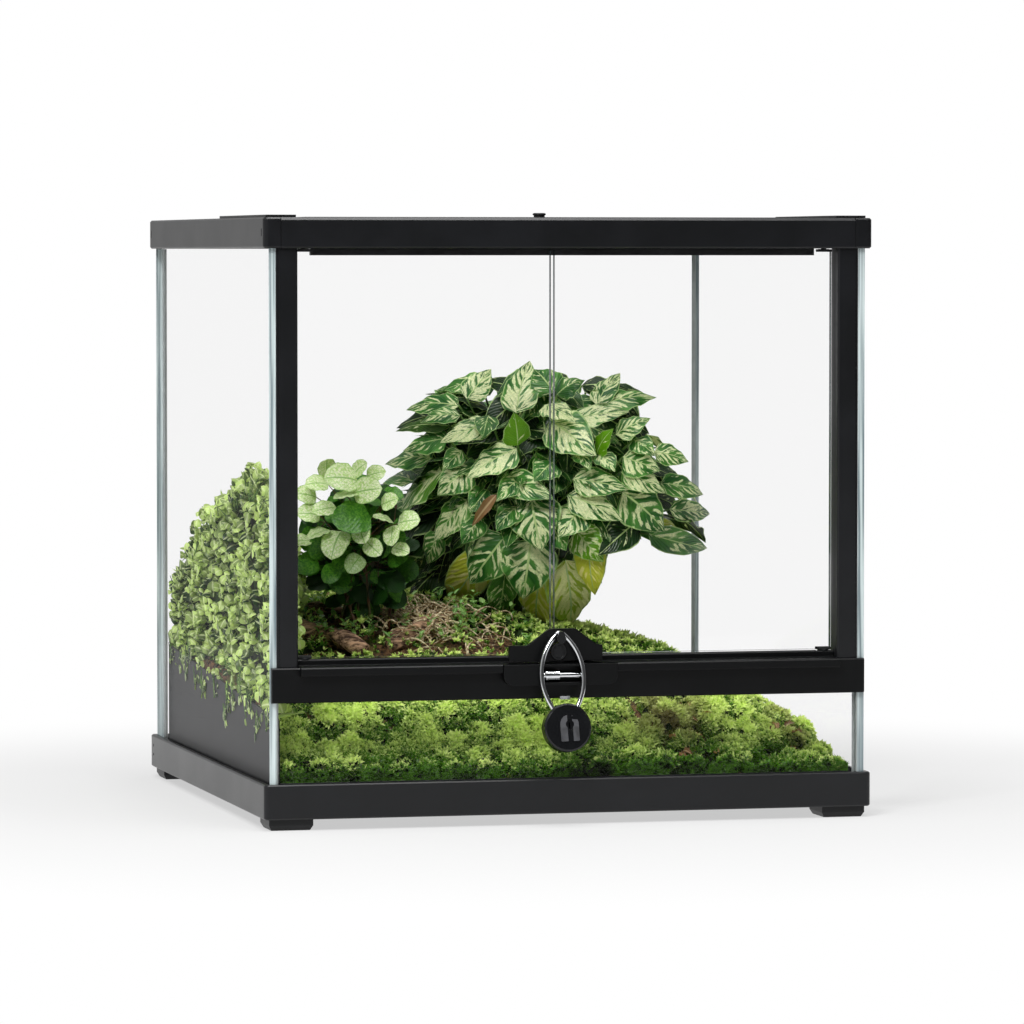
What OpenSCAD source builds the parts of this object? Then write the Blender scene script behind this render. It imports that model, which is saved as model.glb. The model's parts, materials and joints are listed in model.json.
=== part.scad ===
// Front-opening glass terrarium: a moulded base and top frame, glued panes, two hinged front doors
// with a padlocked catch, a lift-off screen lid and a planted floor.
// Millimetres, +Z up, front face towards -Y. The origin is on the floor, under the middle of the
// whole outline, padlock included.

/* [Overall] */
// Outside width of the frame
body_w = 450; // [380:5:560]
// Outside depth of the frame
body_d = 450; // [380:5:560]
// Height from the floor to the rim of the top frame
body_h = 435.5; // [360:0.5:620]

/* [Base and feet] */
// Height of the foot pads
foot_h = 8; // [6:0.5:14]
// Side length of the square foot pads
foot_w = 32; // [24:1:45]
// Distance of a foot pad from the outside of the frame
foot_inset = 4; // [2:0.5:10]
// Height of the base frame
base_h = 25; // [20:0.5:35]
// Thickness of the base frame's floor ledge
base_floor = 4; // [3:0.5:6]
// Width of the ledge that carries the panes
base_ledge = 22; // [16:1:30]
// Height of the rib that carries the floor pane
floor_rib_h = 9; // [7:0.5:14]

/* [Glass] */
// Thickness of the fixed panes
glass_t = 5; // [4:0.5:6]
// Distance of the glass behind the outside of the frame
glass_inset = 4.5; // [3:0.25:7]
// Width of the glued joint between two panes
glue_gap = 0.8; // [0.5:0.1:1.5]
// Leg of the silicone fillet in the inside corners
fillet_leg = 2.5; // [1.5:0.5:3]

/* [Front] */
// Clear height of the lower window
window_h = 58; // [40:1:80]
// Height of the middle rail
rail_h = 25; // [22:0.5:34]
// How far the middle rail stands in from the frame's sides
rail_inset = 5.5; // [4.5:0.5:9]
// Depth of the middle rail
rail_d = 20; // [19.5:0.5:26]
// Width of the door posts
stile_w = 15.5; // [12:0.5:20]
// How far the door posts stand behind the frame's front
stile_setback = 3; // [2:0.5:5]
// How far the door glass stands behind the frame's front
door_recess = 14; // [13:0.5:18]
// Thickness of the door glass
door_t = 5; // [4:0.5:5]
// Gap between the two doors
door_gap = 2.8; // [1.5:0.1:4]
// Sideways place of the gap between the doors
seam_x = -10.7; // [-20:0.1:0]
// Height of the sill under the doors
sill_h = 5.2; // [4.5:0.1:7]
// How far the sill's lip stands in front of the frame
lip_out = 6; // [4:0.5:8]
// Height of the sill's lip on the rail face
lip_drop = 6; // [4:0.5:9]

/* [Door pivots] */
// Radius of a pivot pin
pin_r = 2; // [1.5:0.1:2.5]
// Length of a pivot pin in its bore
pin_l = 5; // [4:0.5:6]
// Distance of a pivot axis from the post
pivot_inset = 6.9; // [6:0.1:10]
// Radius of the boss round a pivot pin
boss_r = 5; // [4:0.1:6]
// Length of the shoe that holds the glass
shoe_l = 10; // [8:1:24]

/* [Top frame] */
// Height of the top frame
top_h = 22; // [18:0.5:30]
// Width of the top frame, seen from above
top_w = 28; // [26:1:40]
// Width of the ledge under the screen lid
ledge_w = 7; // [5:0.5:12]
// Thickness of the top frame's plates
plate_t = 4; // [3:0.25:5]
// Length of the corner caps on the front and back
cap_w = 12.5; // [9:0.5:20]
// Length of one cable inlet
inlet_l = 40; // [20:1:60]
// Width of one cable inlet
inlet_w = 7; // [4:0.5:8]
// Distance of a cable inlet from the middle
inlet_x = 120; // [100:1:130]

/* [Lid] */
// Height of the lid frame
lid_h = 5.5; // [4:0.5:8]
// Width of the lid frame's bars
lid_bar = 16; // [12:1:24]
// Thickness of the screen
mesh_t = 1; // [0.6:0.1:2]
// Sideways place of the lid's knob
knob_x = -14; // [-60:1:60]
// Length of a lid slide
slide_l = 170; // [80:1:200]
// Width of a lid slide
slide_w = 22; // [20:0.5:22]
// Travel of a lid slide
slide_travel = 8; // [6:0.5:9]

/* [Catch and lock] */
// Half the length of the catch plate
plate_half = 34.5; // [34:0.5:45]
// Height of the catch plate at its ends
plate_end_h = 11.3; // [9:0.1:14]
// Height of the catch plate in the middle
plate_mid_h = 23.3; // [21:0.1:28]
// Thickness of the catch plate
catch_t = 3.5; // [3:0.25:5]
// Width of the push button
button_w = 11.2; // [8:0.1:14]
// Height of the push button
button_h = 12.4; // [10:0.1:13]
// Travel of the push button
button_travel = 1.6; // [1:0.1:2]
// Radius of the padlock's shackle wire
wire_r = 1.75; // [1:0.05:2]
// Radius of the padlock's body
lock_r = 17.3; // [16:0.1:22]
// Thickness of the padlock's body
lock_t = 10; // [9.5:0.5:16]
// Radius of the sliding bolt
bolt_r = 2.3; // [1.5:0.1:2.5]
// Travel of the sliding bolt
bolt_travel = 6; // [3:0.5:8]

/* [Ground] */
// Height of the planted ground behind the front window
ground_front_h = 90.5; // [50:0.5:90.5]
// Rise of the ground towards the back
ground_rise = 58; // [30:1:70]
// Thickness of the moss bed
moss_t = 14; // [8:1:20]
// Wall of the substrate tray
tray_t = 1.2; // [0.8:0.1:2]

/* [Hidden] */
$fn = 48;
// Clearances
fit = 0.2;                       // between a pane and its channel
run = 0.05;                      // radial, between a pin and its bore
swing = 1.0;                     // between a door and the frame above and below it
slip = 0.3;                      // between sliding faces
eps = 0.01;
set_back = 12.9;                 // the frame's middle lies this far behind the origin
wall_t = glass_inset - 0.5;      // outer wall of both frames, round at the corners

// Levels
base_z = foot_h;
base_top = base_z + base_h;
rail_z = base_top + window_h;
rail_top = rail_z + rail_h;
sill_top = rail_top + sill_h;
top_z = body_h - top_h;
pane_z = base_z + base_floor;
pane_top = body_h - plate_t - 0.5;
floor_z = base_z + floor_rib_h;
floor_top = floor_z + glass_t;
plate_z = body_h - plate_t;
door_z = sill_top + swing;
door_top = top_z - swing;
ledge_z = body_h - lid_h + 0.3;
ledge_low = ledge_z - 3.5;
lid_z = ledge_z + 0.2;
leg_t = 4;                       // leg of the top frame inside the side panes

// Planes, measured from the middle
half_w = body_w / 2;
half_d = body_d / 2;
glass_x = half_w - glass_inset;
glass_y = half_d - glass_inset;
inner_x = glass_x - glass_t;
inner_y = glass_y - glass_t;
front = -half_d;
stile_y = front + stile_setback;
door_y = front + door_recess;
door_back = door_y + door_t;
post_x = inner_x - fit - stile_w;
pivot_x = post_x - pivot_inset;
pivot_y = door_y + door_t / 2;
lid_hole_x = half_w - top_w;
lid_hole_y = half_d - top_w;
lid_x = lid_hole_x - 0.4;
lid_y = lid_hole_y - 0.4;
shoe_x = post_x - 1.7 - shoe_l;  // inner end of a pivot shoe
slide_x = half_w - 3 - slide_w;  // inner edge of a lid slide at rest
slide_y0 = front + 8;
slide_keys = [slide_y0 + 30, slide_y0 + slide_l - 30];
key_x = inner_x - fit - leg_t - 3;
inlet_y0 = lid_hole_y + 4;
shutter_y0 = inlet_y0 - 1;
shutter_y1 = inlet_y0 + inlet_w + 1;
lip_y = front - lip_out;
rail_x = half_w - rail_inset;
rail_back = front + rail_d;

// Catch plate and push button, on the right-hand door
catch_x = seam_x - 1.4;
catch_z = rail_top + 1.9;
catch_y = front - 1;
catch_back = catch_y + catch_t;
hump_flat = 7;                   // half the hump's flat top
hump_shift = 4.9;                // the hump sits right of the plate's middle
hump_r = 8;                      // radius of the hump's shoulders
hump_a = 37;                     // slope of the hump's flanks, degrees
button_x = seam_x + 0.4;
button_z = catch_z + 7;
stem_r = 2;
catch_bolts = [[catch_x + 14, door_z + 5], [catch_x + 21, door_z + 4]];

// Peg that the padlock hangs on
peg_x = button_x;
peg_z = catch_z + 16.5;
peg_r = 2;
peg_head_y = catch_y - 6.9;

// Padlock, drawn flat about the peg and then leant and turned
lean = 10;                       // the shackle leans out over the rail, degrees
hang = 1.8;                      // and hangs a little to the right, degrees
loop_top_r = peg_r + wire_r + 0.1;
loop_half = 15.5;                // half the loop's width at its widest
loop_drop = 27;                  // from the peg to the widest place
leg_half = 9.6;                  // half the distance between the legs
leg_drop = 49;                   // from the peg to the mouth of the body
leg_in = 11;                     // length of a leg inside the body
body_drop = leg_drop + 15.5;     // from the peg to the middle of the body
upper_c = (pow(loop_drop, 2) - pow(loop_half - loop_top_r, 2)) / (2 * (loop_half - loop_top_r));
upper_r = upper_c + loop_half;
lower_c = (pow(leg_drop - loop_drop, 2) - pow(loop_half, 2) + pow(leg_half, 2))
          / (2 * (loop_half - leg_half));
lower_r = lower_c + loop_half;
lower_a = asin((leg_drop - loop_drop) / lower_r);
top_a = atan2(loop_drop, upper_c);
bend_r = 6;                      // the legs bend upright in the mouth of the body
leg_x = (lower_r + bend_r) * cos(lower_a) - lower_c - bend_r;
mouth_v = -loop_drop - (lower_r + bend_r) * sin(lower_a);
plug_r = 3.6;
plug_u = 1.2;                    // the keyhole sits a little right of and above the middle
plug_v = 2.2;

// Bezel and sliding bolt, on the rail
bezel_x0 = seam_x - 41.2;
bezel_x1 = seam_x + 43;
bezel_z = rail_top - 15;
bezel_y = lip_y - 0.8;
recess_x0 = seam_x - 12.8;
recess_x1 = seam_x + 18.2;
recess_z0 = bezel_z + 2;
recess_z1 = rail_top - 1.6;
bolt_y = front - 4;
bolt_z = bezel_z + 6.8;
bolt_x0 = recess_x0 - 8;
bolt_x1 = recess_x1 - 1.8;
sleeve_r = 3.9;

// Feet and pads
foot_x = half_w - foot_inset - foot_w / 2;
foot_y = half_d - foot_inset - foot_w / 2;

// Ground surface, as heights over the floor
bed_x = inner_x - fillet_leg - 0.3;
bed_y = inner_y - fillet_leg - 0.3;
soil_x = bed_x - tray_t - 0.1;
soil_y = bed_y - tray_t - 0.1;
cells = [20, 16];                // the ground's grid, which the trailing plant shares
tray_front_h = 78;
tray_back_h = 104;
tray_low_h = 36;
function ramp(t) = t <= 0 ? 0 : t >= 1 ? 1 : t * t * (3 - 2 * t);
function bank(x) = ground_front_h - 0.43 * max(0, x - half_w + 105)
                   - 0.09 * pow(max(0, x - half_w + 24), 2);
// A hollow along the left pane, where the trailing plant hangs
function hollow(x, y) = 30 * exp(-pow((x + bed_x) / 16, 2)) * ramp((y + 150) / 60);
function hill(x, y) = ground_rise * exp(-pow((x + 100) / 210, 2)) * ramp((y + 190) / 190);
function pressed(y) = 0.1 + 0.9 * ramp((y + bed_y) / 88);
function ground(x, y) =
    let (low = floor_top + tray_t + 8) low + (bank(x) + hill(x, y) - hollow(x, y) - low) * pressed(y);
function moss_depth(x, y) = min(moss_t, (ground(x, y) - floor_top - tray_t) / 2);
function bush(x, y) =
    let (along = y < -125 ? 247 - 55 * pow((y + 125) / 80, 2) : 247 - 0.09 * (y + 125)
                 - 0.0006 * pow(y + 125, 2),
         across = (x + bed_x) / (16 + 42 * ramp((y + 185) / 110)))
    ground(x, y) + max(3, (along - ground(x, y)) * sqrt(max(0, 1 - across * across)));

frame_black = [0.15, 0.15, 0.16];
soft_black = [0.11, 0.11, 0.12];
glass_tint = [0.80, 0.88, 0.86, 0.35];
steel_bright = [0.80, 0.81, 0.82];

// ---------- shared shapes ----------

// A box from one corner to the other
module span(x0, x1, y0, y1, z0, z1)
    translate([x0, y0, z0]) cube([x1 - x0, y1 - y0, z1 - z0]);

// A box centred on the upright axis
module plate(w, d, z0, z1)
    span(-w / 2, w / 2, -d / 2, d / 2, z0, z1);

// Draws a right-hand piece as it is (s = 1) or mirrored to the left (s = -1)
module side(s)
    mirror([s > 0 ? 0 : 1, 0, 0]) children();

// Section of the frame's outer wall: t thick, h tall, with both outer edges bevelled
module wall_section(t, h, top_bevel, low_bevel)
    polygon([[0, 0], [t - low_bevel, 0], [t, low_bevel], [t, h - top_bevel],
             [t - top_bevel, h], [0, h]]);

// Upright outer corner of the frame, on the right (sx = 1) or left (-1), back (sy = 1) or front (-1)
module wall_corner(sx, sy, z, h, bevel)
    translate([sx * (half_w - wall_t), sy * (half_d - wall_t), z])
        rotate(sy > 0 ? 45 - 45 * sx : 225 + 45 * sx)
            rotate_extrude(angle = 90) wall_section(wall_t, h, bevel, bevel);

// Outer wall of the frame along X, on the front (s = -1) or the back (s = 1)
module wall_x(x0, x1, s, z, h, top_bevel, low_bevel)
    translate([s > 0 ? x0 : x1, s * (half_d - wall_t), z])
        rotate([90, 0, s > 0 ? 90 : -90])
            linear_extrude(x1 - x0) wall_section(wall_t, h, top_bevel, low_bevel);

// Outer wall of the frame along Y, on the left (s = -1) or the right (s = 1)
module wall_y(y0, y1, s, z, h, bevel)
    translate([s * (half_w - wall_t), s > 0 ? y1 : y0, z])
        rotate([90, 0, s > 0 ? 0 : 180])
            linear_extrude(y1 - y0) wall_section(wall_t, h, bevel, bevel);

// A closed solid between two height functions over a rectangle
module field(x0, x1, y0, y1, nx, ny, top, bottom) {
    function px(i) = x0 + (x1 - x0) * i / nx;
    function py(j) = y0 + (y1 - y0) * j / ny;
    function id(i, j, k) = k * (nx + 1) * (ny + 1) + j * (nx + 1) + i;
    points = [for (k = [0, 1], j = [0 : ny], i = [0 : nx])
              [px(i), py(j), k == 0 ? bottom(px(i), py(j)) : top(px(i), py(j))]];
    low = [for (j = [0 : ny - 1], i = [0 : nx - 1], s = [0, 1])
           s == 0 ? [id(i, j, 0), id(i + 1, j, 0), id(i + 1, j + 1, 0)]
                  : [id(i, j, 0), id(i + 1, j + 1, 0), id(i, j + 1, 0)]];
    high = [for (j = [0 : ny - 1], i = [0 : nx - 1], s = [0, 1])
            s == 0 ? [id(i, j, 1), id(i + 1, j + 1, 1), id(i + 1, j, 1)]
                   : [id(i, j, 1), id(i, j + 1, 1), id(i + 1, j + 1, 1)]];
    rim_x = [for (i = [0 : nx - 1], j = [0, ny])
             j == 0 ? [id(i, j, 0), id(i, j, 1), id(i + 1, j, 1), id(i + 1, j, 0)]
                    : [id(i, j, 0), id(i + 1, j, 0), id(i + 1, j, 1), id(i, j, 1)]];
    rim_y = [for (j = [0 : ny - 1], i = [0, nx])
             i == 0 ? [id(i, j, 0), id(i, j + 1, 0), id(i, j + 1, 1), id(i, j, 1)]
                    : [id(i, j, 0), id(i, j, 1), id(i, j + 1, 1), id(i, j + 1, 0)]];
    polyhedron(concat(points), concat(low, high, rim_x, rim_y), convexity = 8);
}

// An egg-shaped crown of leaves turned about the upright axis
module crown(r, h_low, h_high, steps = 16)
    rotate_extrude($fn = 32)
        polygon([for (i = [0 : steps])
                 let (a = 180 * i / steps, h = a < 90 ? h_low : h_high)
                 [i == 0 || i == steps ? 0 : r * sin(a), -h * cos(a)]]);

// A round bar with round ends between two points, for branches
module branch(a, b, r) {
    d = b - a;
    translate(a)
        rotate([0, acos(d[2] / norm(d)), atan2(d[1], d[0])]) {
            cylinder(r = r, h = norm(d));
            sphere(r);
            translate([0, 0, norm(d)]) sphere(r);
        }
}

// ---------- base ----------

module base_frame() color(frame_black) difference() {
    union() {
        for (x = [-1, 1], y = [-1, 1])
            wall_corner(x, y, base_z, base_h, 1);
        for (s = [-1, 1]) {
            wall_x(-half_w + wall_t, half_w - wall_t, s, base_z, base_h, 1, 1);
            wall_y(-half_d + wall_t, half_d - wall_t, s, base_z, base_h, 1);
        }
        // ledge under the panes, and the rib under the floor pane
        plate(body_w - 2 * wall_t, body_d - 2 * wall_t, base_z, pane_z);
        plate(2 * (inner_x - 1.2), 2 * (inner_y - 1.2), base_z, floor_z);
    }
    plate(body_w - 2 * base_ledge, body_d - 2 * base_ledge, base_z - 1, floor_z + 1);
    // two blind holes low on the left side, near the back
    for (z = [base_z + 10, base_z + 17])
        translate([-half_w - 1, half_d - 12, z]) rotate([0, 90, 0]) cylinder(r = 1.2, h = 3);
}

// Square pad, narrower at the floor
module foot(sx, sy) color(soft_black)
    translate([sx * foot_x, sy * foot_y, 0]) intersection_for (a = [0, 90])
        rotate([90, 0, a]) linear_extrude(foot_w, center = true)
            polygon([for (p = [[-1, 0, 2], [1, 0, 2], [1, 3.5, 0], [1, foot_h, 0],
                               [-1, foot_h, 0], [-1, 3.5, 0]])
                     [p[0] * (foot_w / 2 - p[2]), p[1]]]);

// ---------- fixed glass ----------

module bottom_glass() color(glass_tint)
    plate(2 * (inner_x - glue_gap), 2 * (inner_y - glue_gap), floor_z, floor_top);

module back_glass() color(glass_tint)
    span(-inner_x + glue_gap, inner_x - glue_gap, inner_y, glass_y, pane_z, pane_top);

module side_glass(s) color(glass_tint) side(s)
    span(inner_x, glass_x, -glass_y, glass_y, pane_z, pane_top);

module front_window_glass() color(glass_tint)
    span(-inner_x + glue_gap, inner_x - glue_gap, -glass_y, -inner_y, pane_z, rail_z + 8);

// One corner bead: the glued gap, and a fillet on the inside
module bead(sx, sy, z0, z1)
    translate([0, 0, z0]) linear_extrude(z1 - z0)
        polygon([for (p = [[inner_x, glass_y], [inner_x - glue_gap, glass_y],
                           [inner_x - glue_gap, inner_y], [inner_x - fillet_leg, inner_y],
                           [inner_x, inner_y - fillet_leg]]) [sx * p[0], sy * p[1]]]);

module silicone_seams() color([0.86, 0.88, 0.87]) {
    for (s = [-1, 1]) {
        bead(s, 1, floor_top + 1, top_z - slip);
        bead(s, -1, floor_top + 1, rail_z - slip);
    }
}

// ---------- front ----------

module mid_rail() color(frame_black) difference() {
    union() {
        // face plate with bevelled edges and rounded ends
        translate([-rail_x, 0, 0]) rotate([90, 0, 90]) linear_extrude(2 * rail_x)
            polygon([[-glass_y - fit, rail_z], [front + 1, rail_z], [front, rail_z + 1],
                     [front, rail_top - 1], [front + 1, rail_top], [-glass_y - fit, rail_top]]);
        span(-inner_x + fit, inner_x - fit, -glass_y - fit - eps, rail_back, rail_z, rail_top);
    }
    // slot for the lower window
    span(-inner_x - 1, inner_x + 1, -glass_y - fit - eps, -inner_y + fit, rail_z - 1, rail_z + 8 + fit);
    // pivot bores
    for (s = [-1, 1])
        translate([s * pivot_x, pivot_y, rail_top - 1.5]) cylinder(r = pin_r + run, h = 3);
    // pocket behind the sliding bolt
    span(recess_x0, recess_x1, front - 1, front + 2, recess_z0, recess_z1);
}

module door_sill() color(frame_black) difference() {
    translate([-post_x + slip, 0, 0]) rotate([90, 0, 90]) linear_extrude(2 * (post_x - slip))
        polygon([[rail_back, rail_top], [rail_back, sill_top], [door_y - 2.5, sill_top],
                 [door_y - 3.3, sill_top - 0.8], [door_y - 3.8, rail_top + 1], [lip_y + 1, rail_top + 0.4],
                 [lip_y, rail_top - 0.6], [lip_y, rail_top - lip_drop + 0.8],
                 [lip_y + 0.8, rail_top - lip_drop], [front, rail_top - lip_drop],
                 [front, rail_top]]);
    // ends cut back towards the lip
    for (s = [-1, 1])
        translate([s * post_x, front, rail_z]) rotate(s * 35)
            span(s > 0 ? -1.2 : -20, s > 0 ? 20 : 1.2, -15, 2.5, 0, rail_h + sill_h + 2);
    // room for the bezel
    span(bezel_x0 - slip, bezel_x1 + slip, lip_y - 1, front, rail_top - lip_drop - 1,
         rail_top + 2);
    // pivot bores with room for the bosses
    for (s = [-1, 1])
        translate([s * pivot_x, pivot_y, rail_top - 1]) {
            cylinder(r = pin_r + run, h = sill_h + 2);
            translate([0, 0, sill_h - 1.6]) cylinder(r = boss_r + 0.5, h = 4);
        }
}

// Door post, with a groove beside the glass and a bevelled inner edge
module stile(s) color(frame_black) side(s)
    translate([0, 0, rail_top]) linear_extrude(top_z - rail_top)
        polygon([[post_x + 1.2, stile_y], [inner_x - fit - 2, stile_y],
                 [inner_x - fit - 2, stile_y + 1.2], [inner_x - fit, stile_y + 1.2],
                 [inner_x - fit, door_back], [post_x, door_back], [post_x, stile_y + 1.2]]);

// ---------- top frame ----------

// Side moulding: outer wall that wraps the corners, top plate, lid ledge and pane leg
module top_side_rail(s) color(frame_black) side(s) difference() {
    union() {
        for (y = [-1, 1]) {
            wall_corner(1, y, top_z, top_h, 1.2);
            wall_x(half_w - cap_w, half_w - wall_t, y, top_z, top_h, 1.2, 1.2);
        }
        wall_y(-half_d + wall_t, half_d - wall_t, 1, top_z, top_h, 1.2);
        span(half_w - cap_w, half_w - wall_t, -half_d + wall_t, half_d - wall_t, plate_z, body_h);
        span(lid_hole_x, half_w - cap_w, -lid_hole_y, lid_hole_y, plate_z, body_h);
        span(lid_hole_x - ledge_w, inner_x - fit, -lid_hole_y, lid_hole_y, ledge_low, ledge_z);
        span(inner_x - fit - leg_t, inner_x - fit, -lid_hole_y, lid_hole_y, top_z, plate_z);
    }
    // slots in the outer face, near the front and the back
    for (y = [-1, 1])
        span(half_w - 1.2, half_w + 1, y * (half_d - 8) - 0.9, y * (half_d - 8) + 0.9, top_z + 8.5,
             top_z + 14);
    // slots for the lid slide's keys
    for (y = slide_keys)
        translate([key_x, y, plate_z - 1]) {
            for (t = [-slide_travel - 0.2, 0.2]) translate([t, 0, 0]) cylinder(r = 2.1, h = plate_t + 2);
            span(-slide_travel - 0.2, 0.2, -2.1, 2.1, 0, plate_t + 2);
        }
}

module top_front_rail() color(frame_black) difference() {
    x = half_w - cap_w - slip;
    union() {
        wall_x(-x, x, -1, top_z, top_h, 2, 1);
        span(-x, x, -half_d + wall_t, -lid_hole_y, plate_z, body_h - 0.2);
        plate_ledge(-1);
        // header block over the doors, and its inner wall
        span(-inner_x + 5, inner_x - 5, -half_d + wall_t, -lid_hole_y + 2, top_z, top_z + 6);
        span(-inner_x + 5, inner_x - 5, -lid_hole_y - 2, -lid_hole_y + 2, top_z, ledge_low);
    }
    for (s = [-1, 1])
        translate([s * pivot_x, pivot_y, top_z - 1]) cylinder(r = pin_r + run, h = pin_l + 1.5);
}

// Ledge under the lid along the front (s = -1) or the back (s = 1)
module plate_ledge(s)
    span(-lid_hole_x + ledge_w + slip, lid_hole_x - ledge_w - slip,
         min(s * (lid_hole_y - ledge_w), s * (lid_hole_y + 3)),
         max(s * (lid_hole_y - ledge_w), s * (lid_hole_y + 3)), ledge_low, ledge_z);

module top_back_rail() color(frame_black) difference() {
    x = half_w - cap_w - slip;
    union() {
        wall_x(-x, x, 1, top_z, top_h, 1.2, 1.2);
        span(-x, x, lid_hole_y, half_d - wall_t, plate_z, body_h);
        plate_ledge(1);
        span(-lid_hole_x + ledge_w + slip, lid_hole_x - ledge_w - slip, lid_hole_y, lid_hole_y + 3,
             ledge_low, plate_z);
        // leg inside the back pane
        span(-inner_x + 5, inner_x - 5, inner_y - fit - 3, inner_y - fit, top_z, plate_z);
        // guides for the inlet shutters
        for (y = [shutter_y0 - slip - 1.3, shutter_y1 + slip])
            span(-inlet_x - inlet_l / 2 - 6, inlet_x + inlet_l / 2 + 6, y, y + 1.3, body_h, body_h + 1.6);
    }
    for (s = [-1, 1])
        span(s * inlet_x - inlet_l / 2, s * inlet_x + inlet_l / 2, inlet_y0, inlet_y0 + inlet_w,
             plate_z - 1, body_h + 1);
}

// Stop strip behind the top edge of the doors
module header_stop() color(soft_black)
    span(-shoe_x + 1.5, shoe_x - 1.5, door_back + 0.6, -lid_hole_y - 2 - slip, top_z - 5, top_z);

module inlet_shutter(s) color(soft_black) {
    x = s * inlet_x;
    span(x - inlet_l / 2 - 3, x + inlet_l / 2 + 3, shutter_y0, shutter_y1, body_h + 0.1, body_h + 1.5);
    translate([x, (shutter_y0 + shutter_y1) / 2, body_h + 1.4]) cylinder(r = 2.5, h = 1.6);
}

// ---------- doors ----------

module left_door_glass() color(glass_tint)
    span(-post_x + 1.7, seam_x - door_gap / 2, door_y, door_back, door_z, door_top);

module right_door_glass() color(glass_tint) difference() {
    span(seam_x + door_gap / 2, post_x - 1.7, door_y, door_back, door_z, door_top);
    for (p = catch_bolts)
        translate([p[0], door_y - 1, p[1]]) rotate([-90, 0, 0]) cylinder(r = 2.5, h = door_t + 2);
}

// Shoe on a door's corner: two cheeks on the glass and a boss with the pivot pin
module pivot_shoe(s, z_edge, way, boss_h) color(soft_black) {
    lip = 1.5;
    cheek_t = 1.2;
    web_t = 0.4;
    x0 = s > 0 ? post_x - 1.7 - shoe_l : -post_x + 1.7;
    low = way > 0 ? z_edge - lip : z_edge - web_t;
    for (y = [door_y - cheek_t, door_back])
        span(x0, x0 + shoe_l, y, y + cheek_t, low, low + lip + web_t);
    span(x0, x0 + shoe_l, door_y - cheek_t, door_back + cheek_t, way > 0 ? z_edge : z_edge - web_t,
         way > 0 ? z_edge + web_t : z_edge);
    translate([s * pivot_x, pivot_y, way > 0 ? z_edge : z_edge - boss_h]) cylinder(r = boss_r - 1, h = boss_h);
    translate([s * pivot_x, pivot_y, way > 0 ? z_edge : z_edge - boss_h - pin_l])
        cylinder(r = pin_r, h = pin_l + boss_h);
}

module bottom_pivot(s) pivot_shoe(s, door_z, -1, 1.6);
module top_pivot(s) pivot_shoe(s, door_top, 1, 0.6);

// ---------- catch ----------

// Points along an arc, both ends included
function arc(cx, cy, r, a0, a1, steps = 7) =
    [for (i = [0 : steps]) let (a = a0 + (a1 - a0) * i / steps) [cx + r * cos(a), cy + r * sin(a)]];

// Outline of the catch plate: a flat bar with a smooth hump
module hump_outline() {
    rise = plate_mid_h - plate_end_h;
    flank = (rise - 2 * hump_r * (1 - cos(hump_a))) / sin(hump_a);
    foot_u = hump_flat + 2 * hump_r * sin(hump_a) + flank * cos(hump_a);
    middle = plate_half + hump_shift;
    low_c = plate_end_h + hump_r;
    top_c = plate_mid_h - hump_r;
    polygon(concat(
        [[0, plate_end_h], [0, 0], [2 * plate_half, 0], [2 * plate_half, plate_end_h]],
        arc(middle + foot_u, low_c, hump_r, 270, 270 - hump_a),
        arc(middle + hump_flat, top_c, hump_r, 90 - hump_a, 90),
        arc(middle - hump_flat, top_c, hump_r, 90, 90 + hump_a),
        arc(middle - foot_u, low_c, hump_r, 270 + hump_a, 270)));
}

module button_outline(grow) {
    r = button_w / 2 + grow;
    rise = (button_h - button_w) / 2;
    for (s = [-1, 1]) translate([0, s * rise]) circle(r);
    square([2 * r, 2 * rise], center = true);
}

module catch_plate() color(frame_black) difference() {
    union() {
        translate([catch_x - plate_half, catch_back, catch_z]) rotate([90, 0, 0])
            linear_extrude(catch_t) hump_outline();
        // pad that stands on the right-hand pane
        span(seam_x + door_gap / 2 + 7.5, catch_x + plate_half - 4, catch_back - eps, door_y,
             door_z + 0.3, catch_z + plate_end_h - 0.3);
    }
    translate([button_x, catch_back + 1, button_z]) rotate([90, 0, 0])
        linear_extrude(catch_t + 2) button_outline(slip);
    for (p = catch_bolts)
        translate([p[0], catch_back - 2, p[1]]) rotate([-90, 0, 0]) cylinder(r = 1.5 + fit, h = 20);
}

module catch_clamp() color(soft_black) difference() {
    span(seam_x + door_gap / 2 + 1, catch_bolts[1][0] + 4, door_back, door_back + 2.5,
         door_z + 0.3, door_z + 8.5);
    for (p = catch_bolts)
        translate([p[0], door_back - 1, p[1]]) rotate([-90, 0, 0]) cylinder(r = 1.5 + fit, h = 5);
}

module catch_screws() color(steel_bright)
    for (p = catch_bolts)
        translate([p[0], door_back + 2.5, p[1]]) rotate([90, 0, 0]) {
            cylinder(r = 1.5, h = 14);
            translate([0, 0, -1.6]) difference() {
                cylinder(r = 2.9, h = 1.6);
                span(-3, 3, -0.4, 0.4, -1, 0.7);
            }
        }

module lock_peg() color(soft_black) {
    translate([peg_x, catch_y, peg_z]) rotate([90, 0, 0]) cylinder(r = peg_r, h = catch_y - peg_head_y + 0.5);
    // upright head, round at both ends
    translate([peg_x, peg_head_y, peg_z + 1.2]) rotate([90, 0, 0]) {
        translate([0, -1.6, 0]) cylinder(r = 3, h = 2.6);
        translate([0, 1.9, 0]) cylinder(r = 2.4, h = 2.6);
        span(-2.4, 2.4, -1.6, 1.9, 0, 2.6);
    }
}

module catch_button() color(soft_black) difference() {
    union() {
        translate([button_x, catch_back, button_z]) rotate([90, 0, 0])
            linear_extrude(catch_t + 1.2) button_outline(0);
        translate([button_x, catch_back + 6.5, button_z]) rotate([90, 0, 0]) cylinder(r = stem_r, h = 7);
    }
    // ring pressed into the face
    translate([button_x, catch_y - 0.9, button_z]) rotate([90, 0, 0]) linear_extrude(1)
        difference() {
            button_outline(-1.3);
            button_outline(-1.9);
        }
}

// ---------- sliding bolt ----------

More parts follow.
